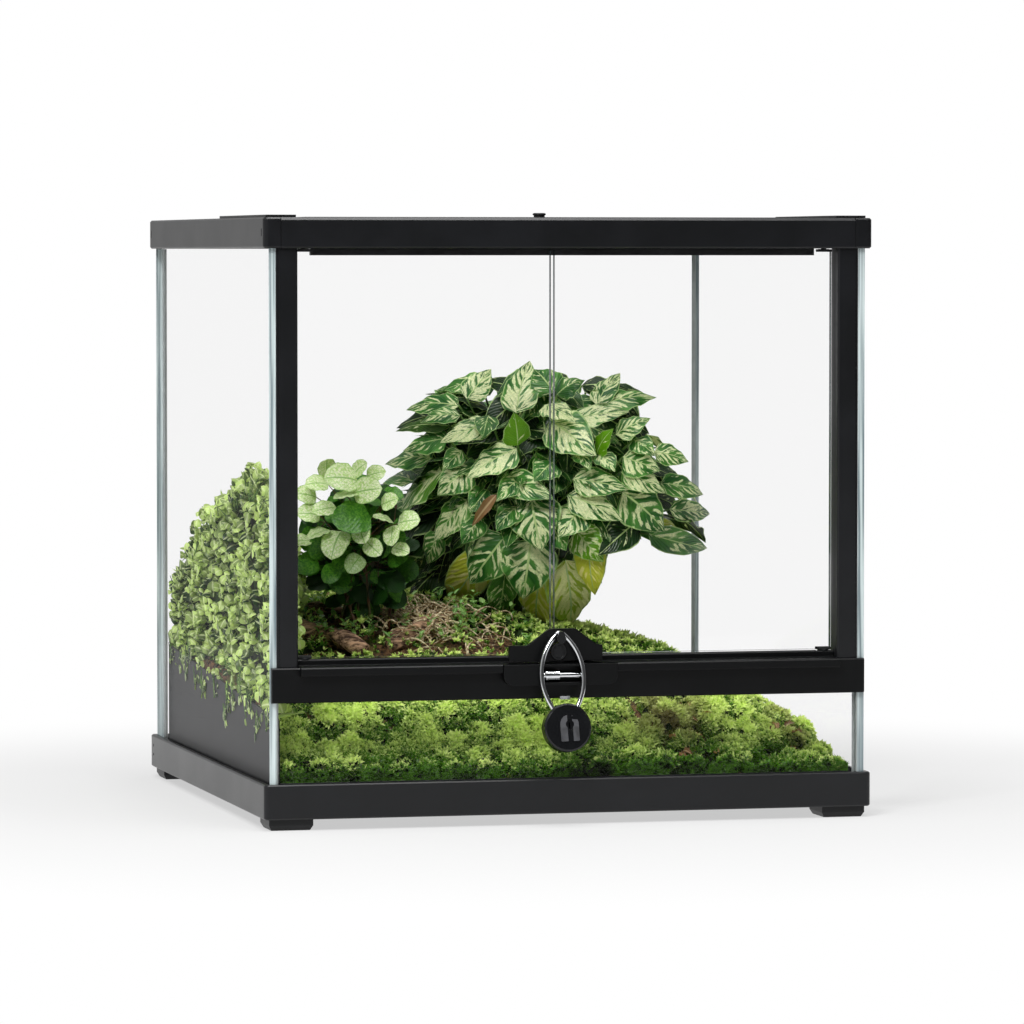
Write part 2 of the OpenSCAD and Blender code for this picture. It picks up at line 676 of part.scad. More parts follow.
module bezel_outline() {
    w = bezel_x1 - bezel_x0;
    h = rail_top - bezel_z;
    translate([0, 7]) square([w, h - 7]);
    translate([7, 0]) square([w - 14, h]);
    for (x = [7, w - 7]) translate([x, 7]) circle(7);
}

module lock_bezel() color(frame_black) difference() {
    translate([bezel_x0, front, bezel_z]) rotate([90, 0, 0])
        linear_extrude(front - bezel_y) bezel_outline();
    span(recess_x0, recess_x1, bezel_y - 1, front + 1, recess_z0, recess_z1);
    translate([bolt_x0 - 2, bolt_y, bolt_z]) rotate([0, 90, 0])
        cylinder(r = bolt_r + run, h = bolt_x1 - bolt_x0 + bolt_travel + 4);
}

module bolt_rod() color(steel_bright)
    translate([bolt_x0, bolt_y, bolt_z]) rotate([0, 90, 0]) {
        cylinder(r = bolt_r, h = bolt_x1 - bolt_x0 - 2);
        translate([0, 0, bolt_x1 - bolt_x0 - 2]) cylinder(r1 = bolt_r, r2 = bolt_r - 0.9, h = 2);
    }

module bolt_sleeve() color(steel_bright)
    translate([recess_x0 + 2.5, bolt_y, bolt_z]) rotate([0, 90, 0]) difference() {
        cylinder(r = sleeve_r, h = 10);
        translate([0, 0, -1]) cylinder(r = bolt_r, h = 12);
        for (g = [1.6 : 1.7 : 8.4])
            translate([0, 0, g]) difference() {
                cylinder(r = sleeve_r + 1, h = 0.7);
                translate([0, 0, -1]) cylinder(r = sleeve_r - 0.45, h = 3);
            }
    }

// Spring clip that holds the bezel, hooked under the rail
module bezel_clip() color(steel_bright) {
    span(seam_x + 1.6, seam_x + 9, front - 0.8, front, rail_z - 0.8, rail_z + 1.6);
    span(seam_x + 1.6, seam_x + 9, front, front + 3.6, rail_z - 0.8, rail_z);
}

// ---------- padlock ----------

// Puts a flat drawing (u right, v up, about the peg) where the padlock hangs
module hang_lock()
    translate([peg_x, catch_y - 4.4, peg_z]) rotate([-lean, 0, 0]) rotate([0, -hang, 0])
        rotate([90, 0, 0]) children();

// Stations along a bend: place, and the direction of the wire's outer side
function bend(cx, cy, r, a0, a1, steps, turn = 0) =
    [for (i = [0 : steps - 1]) let (a = a0 + (a1 - a0) * i / steps)
     [cx + r * cos(a), cy + r * sin(a), a + turn]];

// Right half of the shackle, from the top down to the end of the leg
half_loop = concat(
    bend(0, 0, loop_top_r, 90, top_a, 4),
    bend(-upper_c, -loop_drop, upper_r, top_a, 0, 8),
    bend(-lower_c, -loop_drop, lower_r, 0, -lower_a, 5),
    bend(leg_x + bend_r, mouth_v, bend_r, 180 - lower_a, 180, 3, -180),
    [[leg_x, mouth_v, 0], [leg_x, mouth_v - leg_in, 0]]);

// Round wire through a list of stations
module wire(path, r, sides = 16) {
    last = len(path) - 1;
    function id(i, j) = i * sides + j % sides;
    points = [for (p = path, j = [0 : sides - 1])
              let (t = 360 * j / sides)
              [p[0] + r * cos(t) * cos(p[2]), p[1] + r * cos(t) * sin(p[2]), r * sin(t)]];
    skin = [for (i = [0 : last - 1], j = [0 : sides - 1])
            [id(i, j), id(i, j + 1), id(i + 1, j + 1), id(i + 1, j)]];
    ends = [[for (j = [0 : sides - 1]) id(0, sides - 1 - j)], [for (j = [0 : sides - 1]) id(last, j)]];
    polyhedron(points, concat(skin, ends), convexity = 6);
}

module padlock_shackle() color(steel_bright) hang_lock()
    wire(concat([for (i = [len(half_loop) - 1 : -1 : 1])
                 [-half_loop[i][0], half_loop[i][1], 180 - half_loop[i][2]]], half_loop), wire_r);

module padlock_body() color(soft_black) hang_lock() difference() {
    translate([0, -body_drop, -lock_t / 2]) rotate_extrude($fn = 96)
        polygon([[0, 0], [lock_r - 1.2, 0], [lock_r, 1.2], [lock_r, lock_t - 1.2],
                 [lock_r - 1.2, lock_t], [0, lock_t]]);
    for (s = [-1, 1])
        translate([s * leg_x, -leg_drop + 2, 0]) rotate([90, 0, 0]) {
            cylinder(r = wire_r + run, h = leg_in + 7);
            cylinder(r = wire_r + 1.3, h = 5.2);
        }
    // bore for the key plug
    translate([plug_u, plug_v - body_drop, lock_t / 2 - 8]) cylinder(r = plug_r + run, h = 9);
}

module key_plug() color([0.06, 0.06, 0.06]) hang_lock() difference() {
    translate([plug_u, plug_v - body_drop, lock_t / 2 - 7.9]) cylinder(r = plug_r, h = 7.5);
    translate([plug_u, plug_v - body_drop, lock_t / 2 - 4])
        span(-0.5, 0.5, -plug_r - 1, 2, 0, 5);
}

module keyhole_plate() color([0.45, 0.45, 0.46]) hang_lock()
    translate([plug_u - 0.3, -body_drop, lock_t / 2]) linear_extrude(0.8) difference() {
        offset(0.8) offset(-0.8) union() {
            translate([-6.8, -10]) square([13.6, 12.2]);
            translate([0, 2.2]) circle(6.8);
        }
        translate([0.3, plug_v]) circle(3);
        translate([-1.6, -10.5]) square([4, 11]);
        translate([-1.4, plug_v]) square([3.6, 12]);
        // the right half ends lower than the left one
        translate([2, 5.8]) rotate(-8) square([8, 6]);
    }

// ---------- lid ----------

module lid_frame() color(frame_black) {
    difference() {
        plate(2 * lid_x, 2 * lid_y, lid_z, body_h - 0.3);
        plate(2 * (lid_x - lid_bar), 2 * (lid_y - lid_bar), lid_z - 1, body_h);
        // groove that holds the screen
        plate(2 * (lid_x - lid_bar + 4), 2 * (lid_y - lid_bar + 4), lid_z + 1.5, lid_z + 1.5 + mesh_t);
    }
    difference() {
        plate(2 * (lid_x - 10), 2 * (lid_y - 10), body_h - 0.3 - eps, body_h + 0.5);
        plate(2 * (lid_x - lid_bar), 2 * (lid_y - lid_bar), body_h - 1, body_h + 1);
    }
}

module lid_mesh() color([0.3, 0.3, 0.31])
    plate(2 * (lid_x - lid_bar + 4), 2 * (lid_y - lid_bar + 4), lid_z + 1.5, lid_z + 1.5 + mesh_t);

module lid_knob() color(soft_black)
    translate([knob_x, -lid_y + lid_bar - 3.5, body_h + 0.5]) rotate_extrude()
        polygon([[0, 0], [4, 0], [4, 1.2], [4.8, 1.7], [4.8, 2.4], [3.8, 3], [0, 3]]);

// Low bar that slides in over the lid's edge, held by two keys in slots
module lid_slide(s) color(soft_black) side(s) {
    difference() {
        span(slide_x, slide_x + slide_w, slide_y0, slide_y0 + slide_l, body_h + 0.1, body_h + 1.8);
        // scooped end
        translate([slide_x - 6, slide_y0 + slide_l + 6, body_h]) cylinder(r = slide_w, h = 3);
    }
    for (y = slide_keys)
        translate([key_x, y, plate_z - 1.05]) {
            cylinder(r = 1.9, h = plate_t + 1.5);
            cylinder(r = 2.8, h = 0.9);
        }
}

// ---------- ground and plants ----------

module substrate_tray() color([0.2, 0.2, 0.2]) {
    plate(2 * bed_x, 2 * bed_y, floor_top, floor_top + tray_t);
    // left wall, higher at the back
    translate([-bed_x, 0, 0]) rotate([90, 0, 90]) linear_extrude(tray_t)
        polygon([[-bed_y, floor_top], [bed_y, floor_top], [bed_y, tray_back_h], [-bed_y, tray_front_h]]);
    span(-bed_x, bed_x, bed_y - tray_t, bed_y, floor_top, tray_low_h);
    span(bed_x - tray_t, bed_x, -bed_y, bed_y, floor_top, tray_low_h);
    span(-bed_x, bed_x, -bed_y, -bed_y + tray_t, floor_top, tray_low_h - 3);
}

module soil() color([0.24, 0.17, 0.11])
    field(-soil_x, soil_x, -soil_y, soil_y, cells[0], cells[1],
          function(x, y) ground(x, y) - moss_depth(x, y) - 0.1,
          function(x, y) floor_top + tray_t + 0.1);

module moss_bed() color([0.36, 0.55, 0.14])
    field(-soil_x, soil_x, -soil_y, soil_y, cells[0], cells[1],
          function(x, y) ground(x, y), function(x, y) ground(x, y) - moss_depth(x, y));

module driftwood() color([0.42, 0.29, 0.18]) {
    branch([-176, -56, 135], [-124, -104, 119], 6);
    branch([-152, -22, 145], [-122, -32, 142], 4);
    branch([-104, -84, 118], [-50, -50, 136], 8);
}

module trailing_plant() color([0.42, 0.62, 0.24])
    field(-soil_x, -soil_x + 3 * 2 * soil_x / cells[0], -soil_y + 2 * soil_y / cells[1], soil_y,
          3, cells[1] - 1, function(x, y) bush(x, y), function(x, y) ground(x, y) + 0.4);

// A crown of leaves on a stem that stands in the ground; middle is the height of its widest place
module potted(x, y, middle, r, h_low, h_high, stem_r) {
    stem_z = ground(x, y) - 20;
    translate([x, y, middle]) crown(r, h_low, h_high);
    translate([x, y, stem_z]) cylinder(r = stem_r, h = middle - h_low + 8 - stem_z);
}

module round_leaf_plant() color([0.55, 0.70, 0.40])
    potted(-118, -62, 212, 44, 46, 46, 3);

module broadleaf_plant() color([0.22, 0.45, 0.20])
    potted(40, 18, 250, 118, 96, 80, 9);

// ---------- the parts, one at a time or all together ----------

// Moves the frame's middle back from the origin
module placed()
    translate([0, set_back, 0]) children();

placed() base_frame();
placed() foot(-1, -1);  // foot_front_left
placed() foot(1, -1);  // foot_front_right
placed() foot(-1, 1);  // foot_back_left
placed() foot(1, 1);  // foot_back_right
placed() bottom_glass();
placed() back_glass();
placed() side_glass(-1);  // left_glass
placed() side_glass(1);  // right_glass
placed() front_window_glass();
placed() silicone_seams();
placed() mid_rail();
placed() door_sill();
placed() stile(-1);  // left_stile
placed() stile(1);  // right_stile
placed() top_front_rail();
placed() top_back_rail();
placed() top_side_rail(-1);  // top_left_rail
placed() top_side_rail(1);  // top_right_rail
placed() header_stop();
placed() lock_bezel();
placed() bezel_clip();
placed() substrate_tray();
placed() soil();
placed() moss_bed();
placed() driftwood();
placed() trailing_plant();
placed() round_leaf_plant();
placed() broadleaf_plant();
placed() left_door_glass();
placed() top_pivot(-1);  // left_top_pivot
placed() bottom_pivot(-1);  // left_bottom_pivot
placed() right_door_glass();
placed() top_pivot(1);  // right_top_pivot
placed() bottom_pivot(1);  // right_bottom_pivot
placed() catch_plate();
placed() catch_clamp();
placed() catch_screws();
placed() lock_peg();
placed() catch_button();
placed() bolt_rod();
placed() bolt_sleeve();
placed() padlock_shackle();
placed() padlock_body();
placed() keyhole_plate();
placed() key_plug();
placed() lid_frame();
placed() lid_mesh();
placed() lid_knob();
placed() lid_slide(-1);  // lid_slide_left
placed() lid_slide(1);  // lid_slide_right
placed() inlet_shutter(-1);  // inlet_shutter_left
placed() inlet_shutter(1);  // inlet_shutter_right
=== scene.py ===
# %% [markdown]
# # A planted glass terrarium
# A front-opening terrarium is a moulded base and top frame, glass panes glued between them, two
# small glass doors and a planted bank of soil inside. The frame, the glass and the lock arrive as
# finished parts at their real size, and everything here is built round them. This lesson gives
# each of those parts its finish, and grows the moss, the leaves and the woven screen as surfaces
# worked out with numpy. All lengths are metres; a length written in millimetres is multiplied by
# MM.

# %% Load the parts
import bpy
import json
import numpy as np
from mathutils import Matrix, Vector


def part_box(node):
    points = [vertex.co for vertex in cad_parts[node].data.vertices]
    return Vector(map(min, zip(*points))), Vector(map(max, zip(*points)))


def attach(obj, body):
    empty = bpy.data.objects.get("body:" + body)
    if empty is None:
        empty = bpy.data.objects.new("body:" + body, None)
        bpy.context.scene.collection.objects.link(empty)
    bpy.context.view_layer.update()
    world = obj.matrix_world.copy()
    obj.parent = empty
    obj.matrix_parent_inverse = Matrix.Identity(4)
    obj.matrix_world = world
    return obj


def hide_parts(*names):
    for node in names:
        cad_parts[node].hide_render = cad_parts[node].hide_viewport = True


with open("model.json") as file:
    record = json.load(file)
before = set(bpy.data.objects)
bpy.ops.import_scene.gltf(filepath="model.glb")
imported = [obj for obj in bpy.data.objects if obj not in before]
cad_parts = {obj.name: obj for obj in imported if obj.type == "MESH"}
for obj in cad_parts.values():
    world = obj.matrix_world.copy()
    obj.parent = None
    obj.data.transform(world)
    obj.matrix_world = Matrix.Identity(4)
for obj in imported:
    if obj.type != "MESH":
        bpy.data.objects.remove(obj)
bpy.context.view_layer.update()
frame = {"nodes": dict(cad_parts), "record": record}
MM = 0.001
nodes = frame["nodes"]

# %% [markdown]
# ## Where things are
# The padlock hangs out in front, so the middle of the glass box is a little behind the origin.
# The planting is easier to think about from the middle of the box, so one number, MIDDLE_Y, is
# measured from the base frame and added once to whatever is placed that way.

# %% Measure the box
base_lo, base_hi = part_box("base_frame")
tray_lo, tray_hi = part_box("substrate_tray")
MIDDLE_Y = (base_lo.y + base_hi.y) / 2
TRAY_WALL = 1.5 * MM
BED_X = tray_hi.x - TRAY_WALL                      # half the bed's width, inside the tray's wall
BED_Y = (tray_hi.y - tray_lo.y) / 2 - TRAY_WALL    # half its depth
print("middle of the box at y =", round(MIDDLE_Y / MM, 2), "mm, bed", round(2 * BED_X / MM, 1),
      "by", round(2 * BED_Y / MM, 1), "mm")

# %% [markdown]
# ## The camera
# A long lens a good four metres away keeps the box nearly free of perspective. It stands a little
# to the left and looks slightly down, which shows the left wall and just the edge of the top. A
# near camera with a short lens would show the same box with steeply converging edges, and a small
# tank would look like a room.

# %% Make the camera
CAMERA_PLACE = (-1.0256, -4.1784 + MIDDLE_Y, 0.4096)
CAMERA_YAW = np.radians(13.939)
CAMERA_PITCH = np.radians(2.5925)
SENSOR_WIDTH, FOCAL_LENGTH = 36.0, 200.5    # mm, as on a real camera
camera = bpy.data.objects.new("camera", bpy.data.cameras.new("camera"))
camera.data.sensor_width = SENSOR_WIDTH
camera.data.lens = FOCAL_LENGTH
camera.data.clip_end = 60.0
camera.location = CAMERA_PLACE
camera.rotation_euler = (np.pi / 2 - CAMERA_PITCH, 0.0, -CAMERA_YAW)
bpy.context.scene.collection.objects.link(camera)
bpy.context.scene.camera = camera
print("camera", round(float(np.hypot(*CAMERA_PLACE[:2])), 2), "m from the origin")

# %% [markdown]
# ## Colours and one helper for nodes
# A colour is written the way a paint chart gives it, as a hex number in sRGB, and turned into the
# linear light that the shaders work in. Every material below is wired with the same small
# function: it adds one node, sets its properties, and fills each input with a value or with
# another node's output. The same materials could be wired by hand in the shader editor, but a
# script says in plain text what was joined to what.

# %% Colour and node helpers
def linear(code):
    """Linear RGBA of an sRGB hex colour: each channel c becomes c/12.92 below 0.04045 and
    ((c + 0.055)/1.055)^2.4 above it."""
    c = np.array([int(code[i:i + 2], 16) for i in (1, 3, 5)]) / 255
    light = np.where(c <= 0.04045, c / 12.92, ((c + 0.055) / 1.055) ** 2.4)
    return (*light.tolist(), 1.0)


def add(tree, kind, inputs, out=0, **settings):
    """Adds one shader node with its settings and its links, and gives back one of its outputs."""
    made = tree.nodes.new("ShaderNode" + kind)
    for name, value in settings.items():
        setattr(made, name, value)
    for socket, value in inputs.items():
        if isinstance(value, bpy.types.NodeSocket):
            tree.links.new(value, made.inputs[socket])
        else:
            made.inputs[socket].default_value = value
    return made.outputs[out] if len(made.outputs) else None


# settings that many nodes share: a MapRange that eases at both ends, and a Mix of colours, which
# takes its colours at inputs 6 and 7 and gives the result at output 2
EASED = {"interpolation_type": "SMOOTHSTEP"}
COLOUR = {"data_type": "RGBA"}


def blank(name):
    """A new material and its empty node tree."""
    material = bpy.data.materials.new(name)
    material.use_nodes = True
    tree = material.node_tree
    tree.nodes.clear()
    return material, tree

# %% [markdown]
# ## Moulded ABS
# The frame, the rails and the lock housing are injection-moulded ABS, black all the way through.
# The rails under the doors take a darker copy of the same black, which is painted shade.
# The mould is etched with a fine grain, so the skin is neither shiny nor dull: it shows broad
# soft highlights, a little brighter where edges are rubbed. The grain of a real moulding is about
# 0.2 mm, too fine to show here, so it is drawn at 0.8 mm with a slight bump, and a second, slow
# pattern stands for flow marks and handling. A picture of a grained surface could be laid over
# the parts instead; noise in the parts' own coordinates needs no unwrapping and has its real size
# everywhere.

# %% Make the moulded plastics
def moulded_plastic(name, colour, worn, roughness, grain=0.8 * MM, depth=0.05 * MM, index=1.42):
    """Black ABS: even colour, a slow change of gloss, an etched grain as bump, and edges that the
    shading rounds off by 0.7 mm, so that they catch a thin line of light."""
    material, tree = blank(name)
    where = add(tree, "TexCoord", {}, "Object")
    slow = add(tree, "TexNoise", {"Vector": where, "Scale": 1 / (45 * MM), "Detail": 4.0})
    fine = add(tree, "TexNoise", {"Vector": where, "Scale": 1 / grain, "Detail": 2.0})
    rubbed = add(tree, "MapRange", {0: slow, 1: 0.35, 2: 0.75}, **EASED)
    tint = add(tree, "Mix", {0: rubbed, 6: linear(colour), 7: linear(worn)}, 2, **COLOUR)
    gloss = add(tree, "MapRange", {0: slow, 1: 0.3, 2: 0.7, 3: roughness - 0.01,
                                   4: roughness + 0.02}, **EASED)
    rounded = add(tree, "Bevel", {"Radius": 0.7 * MM}, samples=4)
    bump = add(tree, "Bump", {"Height": fine, "Distance": depth, "Strength": 0.6,
                              "Normal": rounded})
    skin = add(tree, "BsdfPrincipled", {"Base Color": tint, "Roughness": gloss, "IOR": index,
                                        "Normal": bump})
    add(tree, "OutputMaterial", {0: skin})
    return material


FRAME_ABS = moulded_plastic("moulded_abs_black", "#111214", "#16171a", 0.32)
# painted shade: the rails under the doors take the frame's black made darker, with less sheen
SHADED_RAIL_ABS = moulded_plastic("moulded_abs_rail_shaded", "#050607", "#08090a", 0.36, index=1.3)
LOCK_ABS = moulded_plastic("moulded_abs_lock", "#101113", "#17181a", 0.24, 0.6 * MM)
SOFT_ABS = moulded_plastic("moulded_abs_soft", "#141516", "#1c1d1f", 0.42)
LINER_PVC = moulded_plastic("pvc_liner_grey", "#17181a", "#232427", 0.54, 0.8 * MM, 0.004 * MM)

# %% [markdown]
# ## Float glass
# The panes are plain float glass. Seen through its faces it is clear, with a reflection that
# grows towards glancing angles; seen into its cut edge, the light has come a long way through the
# sheet, and the edge glows a pale grey-green. A pane this thin hardly bends what is behind it, so
# its faces mix a clear, see-through shader with a mirror, by Fresnel's law for glass, and only on
# the side where light goes in. The edge is picked out by the pane's own normal, which turns with
# a door: only the two broad faces point along the pane's own axis. Light for shadows and for what
# stands inside passes straight through. A refracting glass shader would be truer to the sheet,
# but it throws black shadows over everything behind two panes, and it needs many more samples.

# %% Make the glass
MIRRORING = 0.13          # share of Fresnel's reflection that a pane keeps in this bright room
CLEAR = linear("#fdfdfd")


def float_glass(name, axis, edge_dark, edge_pale):
    """Clear glass whose faces look along axis (0, 1 or 2) and whose other sides are cut edges."""
    material, tree = blank(name)
    normal = add(tree, "TexCoord", {}, "Normal")
    facing = add(tree, "SeparateXYZ", {0: normal}, axis)
    facing = add(tree, "Math", {0: facing}, operation="ABSOLUTE")
    face = add(tree, "Math", {0: facing, 1: 0.8}, operation="GREATER_THAN")
    inner = add(tree, "NewGeometry", {}, "Backfacing")
    inner = add(tree, "Math", {0: MIRRORING, 1: inner}, operation="MULTIPLY")
    outer = add(tree, "Math", {0: MIRRORING, 1: inner}, operation="SUBTRACT")
    fresnel = add(tree, "Fresnel", {"IOR": 1.52})
    mirrored = add(tree, "Math", {0: fresnel, 1: outer}, operation="MULTIPLY")
    clear = add(tree, "BsdfTransparent", {0: CLEAR})
    mirror = add(tree, "BsdfGlossy", {"Color": linear("#ffffff"), "Roughness": 0.0})
    sheet = add(tree, "MixShader", {0: mirrored, 1: clear, 2: mirror})
    where = add(tree, "TexCoord", {}, "Object")
    long = add(tree, "Mapping", {"Vector": where, "Scale": (1, 1, 0.02)})
    streaks = add(tree, "TexNoise", {"Vector": long, "Scale": 1 / (2 * MM), "Detail": 1.0})
    share = add(tree, "MapRange", {0: streaks, 1: 0.3, 2: 0.7}, **EASED)
    tint = add(tree, "Mix", {0: share, 6: linear(edge_dark), 7: linear(edge_pale)}, 2, **COLOUR)
    edge = add(tree, "BsdfPrincipled", {"Base Color": tint, "Roughness": 0.1, "IOR": 1.52})
    pane = add(tree, "MixShader", {0: face, 1: edge, 2: sheet})
    shadow = add(tree, "LightPath", {}, "Is Shadow Ray")
    diffuse = add(tree, "LightPath", {}, "Is Diffuse Ray")
    passing = add(tree, "Math", {0: shadow, 1: diffuse}, operation="MAXIMUM")
    add(tree, "OutputMaterial", {0: add(tree, "MixShader", {0: passing, 1: pane, 2: clear})})
    return material


SIDE_GLASS = float_glass("float_glass_side", 0, "#76858a", "#cfdcdc")
FRONT_GLASS = float_glass("float_glass_front", 1, "#a9b6b8", "#dfe8e8")
DOOR_GLASS = float_glass("float_glass_door", 1, "#2c3436", "#596366")
FLOOR_GLASS = float_glass("float_glass_floor", 2, "#a9b6b8", "#dfe8e8")

# %% [markdown]
# ## Silicone, chrome and pewter
# The panes are glued with clear silicone, which cures to a milky grey bead. The shackle and the
# bolt are steel, plated with chrome and polished, so they show the room as thin bright and dark
# lines. The bolt's grip is knurled. The little keyhole plate is die-cast and dull, and its rubbed
# rim shows a trace of brass. One metal could serve for all of them; they are kept apart because
# gloss is what tells chrome from zinc and from a casting.

# %% Make the silicone and the metals
def silicone(name):
    """Cured clear silicone: milky, soft gloss, lets some light through."""
    material, tree = blank(name)
    where = add(tree, "TexCoord", {}, "Object")
    mottle = add(tree, "TexNoise", {"Vector": where, "Scale": 1 / (6 * MM), "Detail": 2.0})
    tint = add(tree, "Mix", {0: mottle, 6: linear("#9aa09f"), 7: linear("#c4cac8")}, 2, **COLOUR)
    bead = add(tree, "BsdfPrincipled", {"Base Color": tint, "Roughness": 0.35, "IOR": 1.41,
                                        "Transmission Weight": 0.4})
    add(tree, "OutputMaterial", {0: bead})
    return material


def plated_metal(name, colour, shaded_tone, roughness, grain, depth=0.01 * MM):
    """Metal with faint wear: a slow change of tint and gloss and a fine grain as bump."""
    material, tree = blank(name)
    where = add(tree, "TexCoord", {}, "Object")
    slow = add(tree, "TexNoise", {"Vector": where, "Scale": 1 / (7 * MM), "Detail": 3.0})
    worn = add(tree, "MapRange", {0: slow, 1: 0.4, 2: 0.8}, **EASED)
    tint = add(tree, "Mix", {0: worn, 6: linear(colour), 7: linear(shaded_tone)}, 2, **COLOUR)
    gloss = add(tree, "MapRange", {0: slow, 1: 0.3, 2: 0.8, 3: roughness, 4: roughness * 1.8},
                **EASED)
    fine = add(tree, "TexNoise", {"Vector": where, "Scale": 1 / grain, "Detail": 2.0})
    bump = add(tree, "Bump", {"Height": fine, "Distance": depth})
    skin = add(tree, "BsdfPrincipled", {"Base Color": tint, "Metallic": 1.0, "Roughness": gloss,
                                        "Normal": bump})
    add(tree, "OutputMaterial", {0: skin})
    return material


SILICONE = silicone("cured_silicone")
CHROME = plated_metal("polished_chrome", "#e4e6e8", "#d2d5d8", 0.09, 0.8 * MM, 0.002 * MM)
ZINC_CLIP = plated_metal("zinc_plated_clip", "#c9cccf", "#aeb1b4", 0.22, 0.7 * MM)
PEWTER = plated_metal("die_cast_pewter", "#8d8e92", "#5f6064", 0.34, 0.5 * MM)

# %% [markdown]
# ## Giving the parts their finish
# Each part arrives with one plain material slot. Its mesh is never touched: only the material in
# the slot changes. New meshes could be drawn over them, but theirs are exact already, and a
# finish is all that they lack.

# %% Assign finishes to the parts
def finish_with(material, *names):
    """Puts one material into every slot of the named parts."""
    for name in names:
        for slot in nodes[name].material_slots:
            slot.material = material


finish_with(FRAME_ABS, "base_frame", "left_stile", "right_stile", "top_front_rail", "top_back_rail",
            "top_left_rail", "top_right_rail", "lid_frame")
finish_with(SHADED_RAIL_ABS, "mid_rail", "door_sill", "lock_bezel", "catch_plate")
finish_with(SOFT_ABS, "foot_front_left", "foot_front_right", "foot_back_left", "foot_back_right",
            "header_stop", "left_top_pivot", "left_bottom_pivot", "right_top_pivot",
            "right_bottom_pivot", "catch_clamp", "lid_slide_left", "lid_slide_right",
            "inlet_shutter_left", "inlet_shutter_right", "lid_knob")
finish_with(LOCK_ABS, "lock_peg", "catch_button", "padlock_body", "key_plug")
finish_with(SIDE_GLASS, "left_glass", "right_glass")
finish_with(FRONT_GLASS, "back_glass", "front_window_glass")
finish_with(DOOR_GLASS, "left_door_glass", "right_door_glass")
finish_with(FLOOR_GLASS, "bottom_glass")
finish_with(SILICONE, "silicone_seams")
finish_with(CHROME, "bolt_rod", "bolt_sleeve", "catch_screws")
finish_with(ZINC_CLIP, "bezel_clip")
finish_with(PEWTER, "keyhole_plate")
finish_with(LINER_PVC, "substrate_tray")
print("finished", sum(len(o.material_slots) for o in nodes.values()), "slots")

# %% [markdown]
# ## A helper for surfaces
# Every new piece below is a set of points worked out as whole arrays, and a set of faces that
# index into them. This helper puts such arrays into a mesh, with an optional UV map and with
# optional values at the points, which a material can read as an attribute. The piece then rides
# on the body that carries it. Blender's own primitives and its sculpting tools could make such
# shapes too; arrays are used because a formula can be read, changed and run again with the same
# result.

# %% Mesh helpers
def make_piece(name, points, faces, material, body="enclosure", slot=None, uv=None, values=None):
    """A mesh object from points (n, 3) and faces (m, k), all faces with the same k corners."""
    points = np.asarray(points, float).reshape(-1, 3)
    faces = np.asarray(faces, int)
    mesh = bpy.data.meshes.new(name)
    mesh.vertices.add(len(points))
    mesh.vertices.foreach_set("co", points.ravel())
    mesh.loops.add(faces.size)
    mesh.loops.foreach_set("vertex_index", faces.ravel())
    mesh.polygons.add(len(faces))
    mesh.polygons.foreach_set("loop_start", np.arange(len(faces)) * faces.shape[1])
    mesh.polygons.foreach_set("use_smooth", np.ones(len(faces), bool))
    mesh.update(calc_edges=True)
    if uv is not None:
        layer = mesh.uv_layers.new(name="UVMap")
        layer.data.foreach_set("uv", np.asarray(uv, float)[faces.ravel()].ravel())
    for key, value in (values or {}).items():
        layer = mesh.attributes.new(key, "FLOAT", "POINT")
        layer.data.foreach_set("value", np.asarray(value, float))
    mesh.materials.append(material)
    piece = bpy.data.objects.new(name, mesh)
    bpy.context.scene.collection.objects.link(piece)
    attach(piece, body)
    print(name, len(points), "points", len(faces) * (faces.shape[1] - 2), "triangles")
    return piece

# %% Grids and tubes
def grid_faces(rows, columns, copies=1, wrap=False):
    """Four-cornered faces over a grid of points, rows by columns, for several copies of the grid
    one after the other. With wrap, the last column joins the first, which makes a tube."""
    last = columns if wrap else columns - 1
    i, j = np.meshgrid(np.arange(rows - 1), np.arange(last), indexing="ij")
    right = (j + 1) % columns
    one = np.stack([i * columns + j, i * columns + right, (i + 1) * columns + right,
                    (i + 1) * columns + j], -1).reshape(-1, 4)
    return (one[None] + np.arange(copies)[:, None, None] * rows * columns).reshape(-1, 4)


def unit(v):
    """Vectors scaled to length one."""
    return v / np.maximum(np.linalg.norm(v, axis=-1, keepdims=True), 1e-12)


def tubes(paths, radii, sides=6, twist=0.0, across=None):
    """Round tubes with closed ends along many paths at once. paths is (n, k, 3) and radii
    broadcasts to (n, k). Each ring lies across its path's direction: point = path + r (cos a *
    side + sin a * other), where side and other are square to the path, and side is square to the
    vector across."""
    paths = np.asarray(paths, float)
    radii = np.broadcast_to(radii, paths.shape[:2])
    ahead = unit(np.gradient(paths, axis=1))
    if across is None:
        whole = unit(paths[:, -1:] - paths[:, :1])
        across = np.where(np.abs(whole[..., 2:]) > 0.7, [1.0, 0.0, 0.0], [0.0, 0.0, 1.0])
    side = unit(np.cross(ahead, across))
    other = np.cross(ahead, side)
    a = 2 * np.pi * np.arange(sides) / sides + twist
    ring = np.cos(a)[:, None] * side[:, :, None] + np.sin(a)[:, None] * other[:, :, None]
    points = paths[:, :, None] + radii[:, :, None, None] * ring
    rings = paths.shape[1]
    first = np.arange(len(paths))[:, None, None] * rings * sides
    corner = np.arange(1, sides - 1, 2)
    fan = np.stack([np.zeros_like(corner), corner, corner + 1, corner + 2], -1)
    near_end = (first + fan[:, ::-1]).reshape(-1, 4)
    far_end = (first + (rings - 1) * sides + fan).reshape(-1, 4)
    return points, np.concatenate([grid_faces(rings, sides, len(paths), wrap=True),
                                   near_end, far_end])

# %% Smooth paths and smooth noise
def curve_through(start, bend, end, steps):
    """Points on the curve start (1-t)^2 + bend 2t(1-t) + end t^2, for many curves at once."""
    t = np.linspace(0, 1, steps)[None, :, None]
    return start[:, None] * (1 - t) ** 2 + bend[:, None] * 2 * t * (1 - t) + end[:, None] * t ** 2


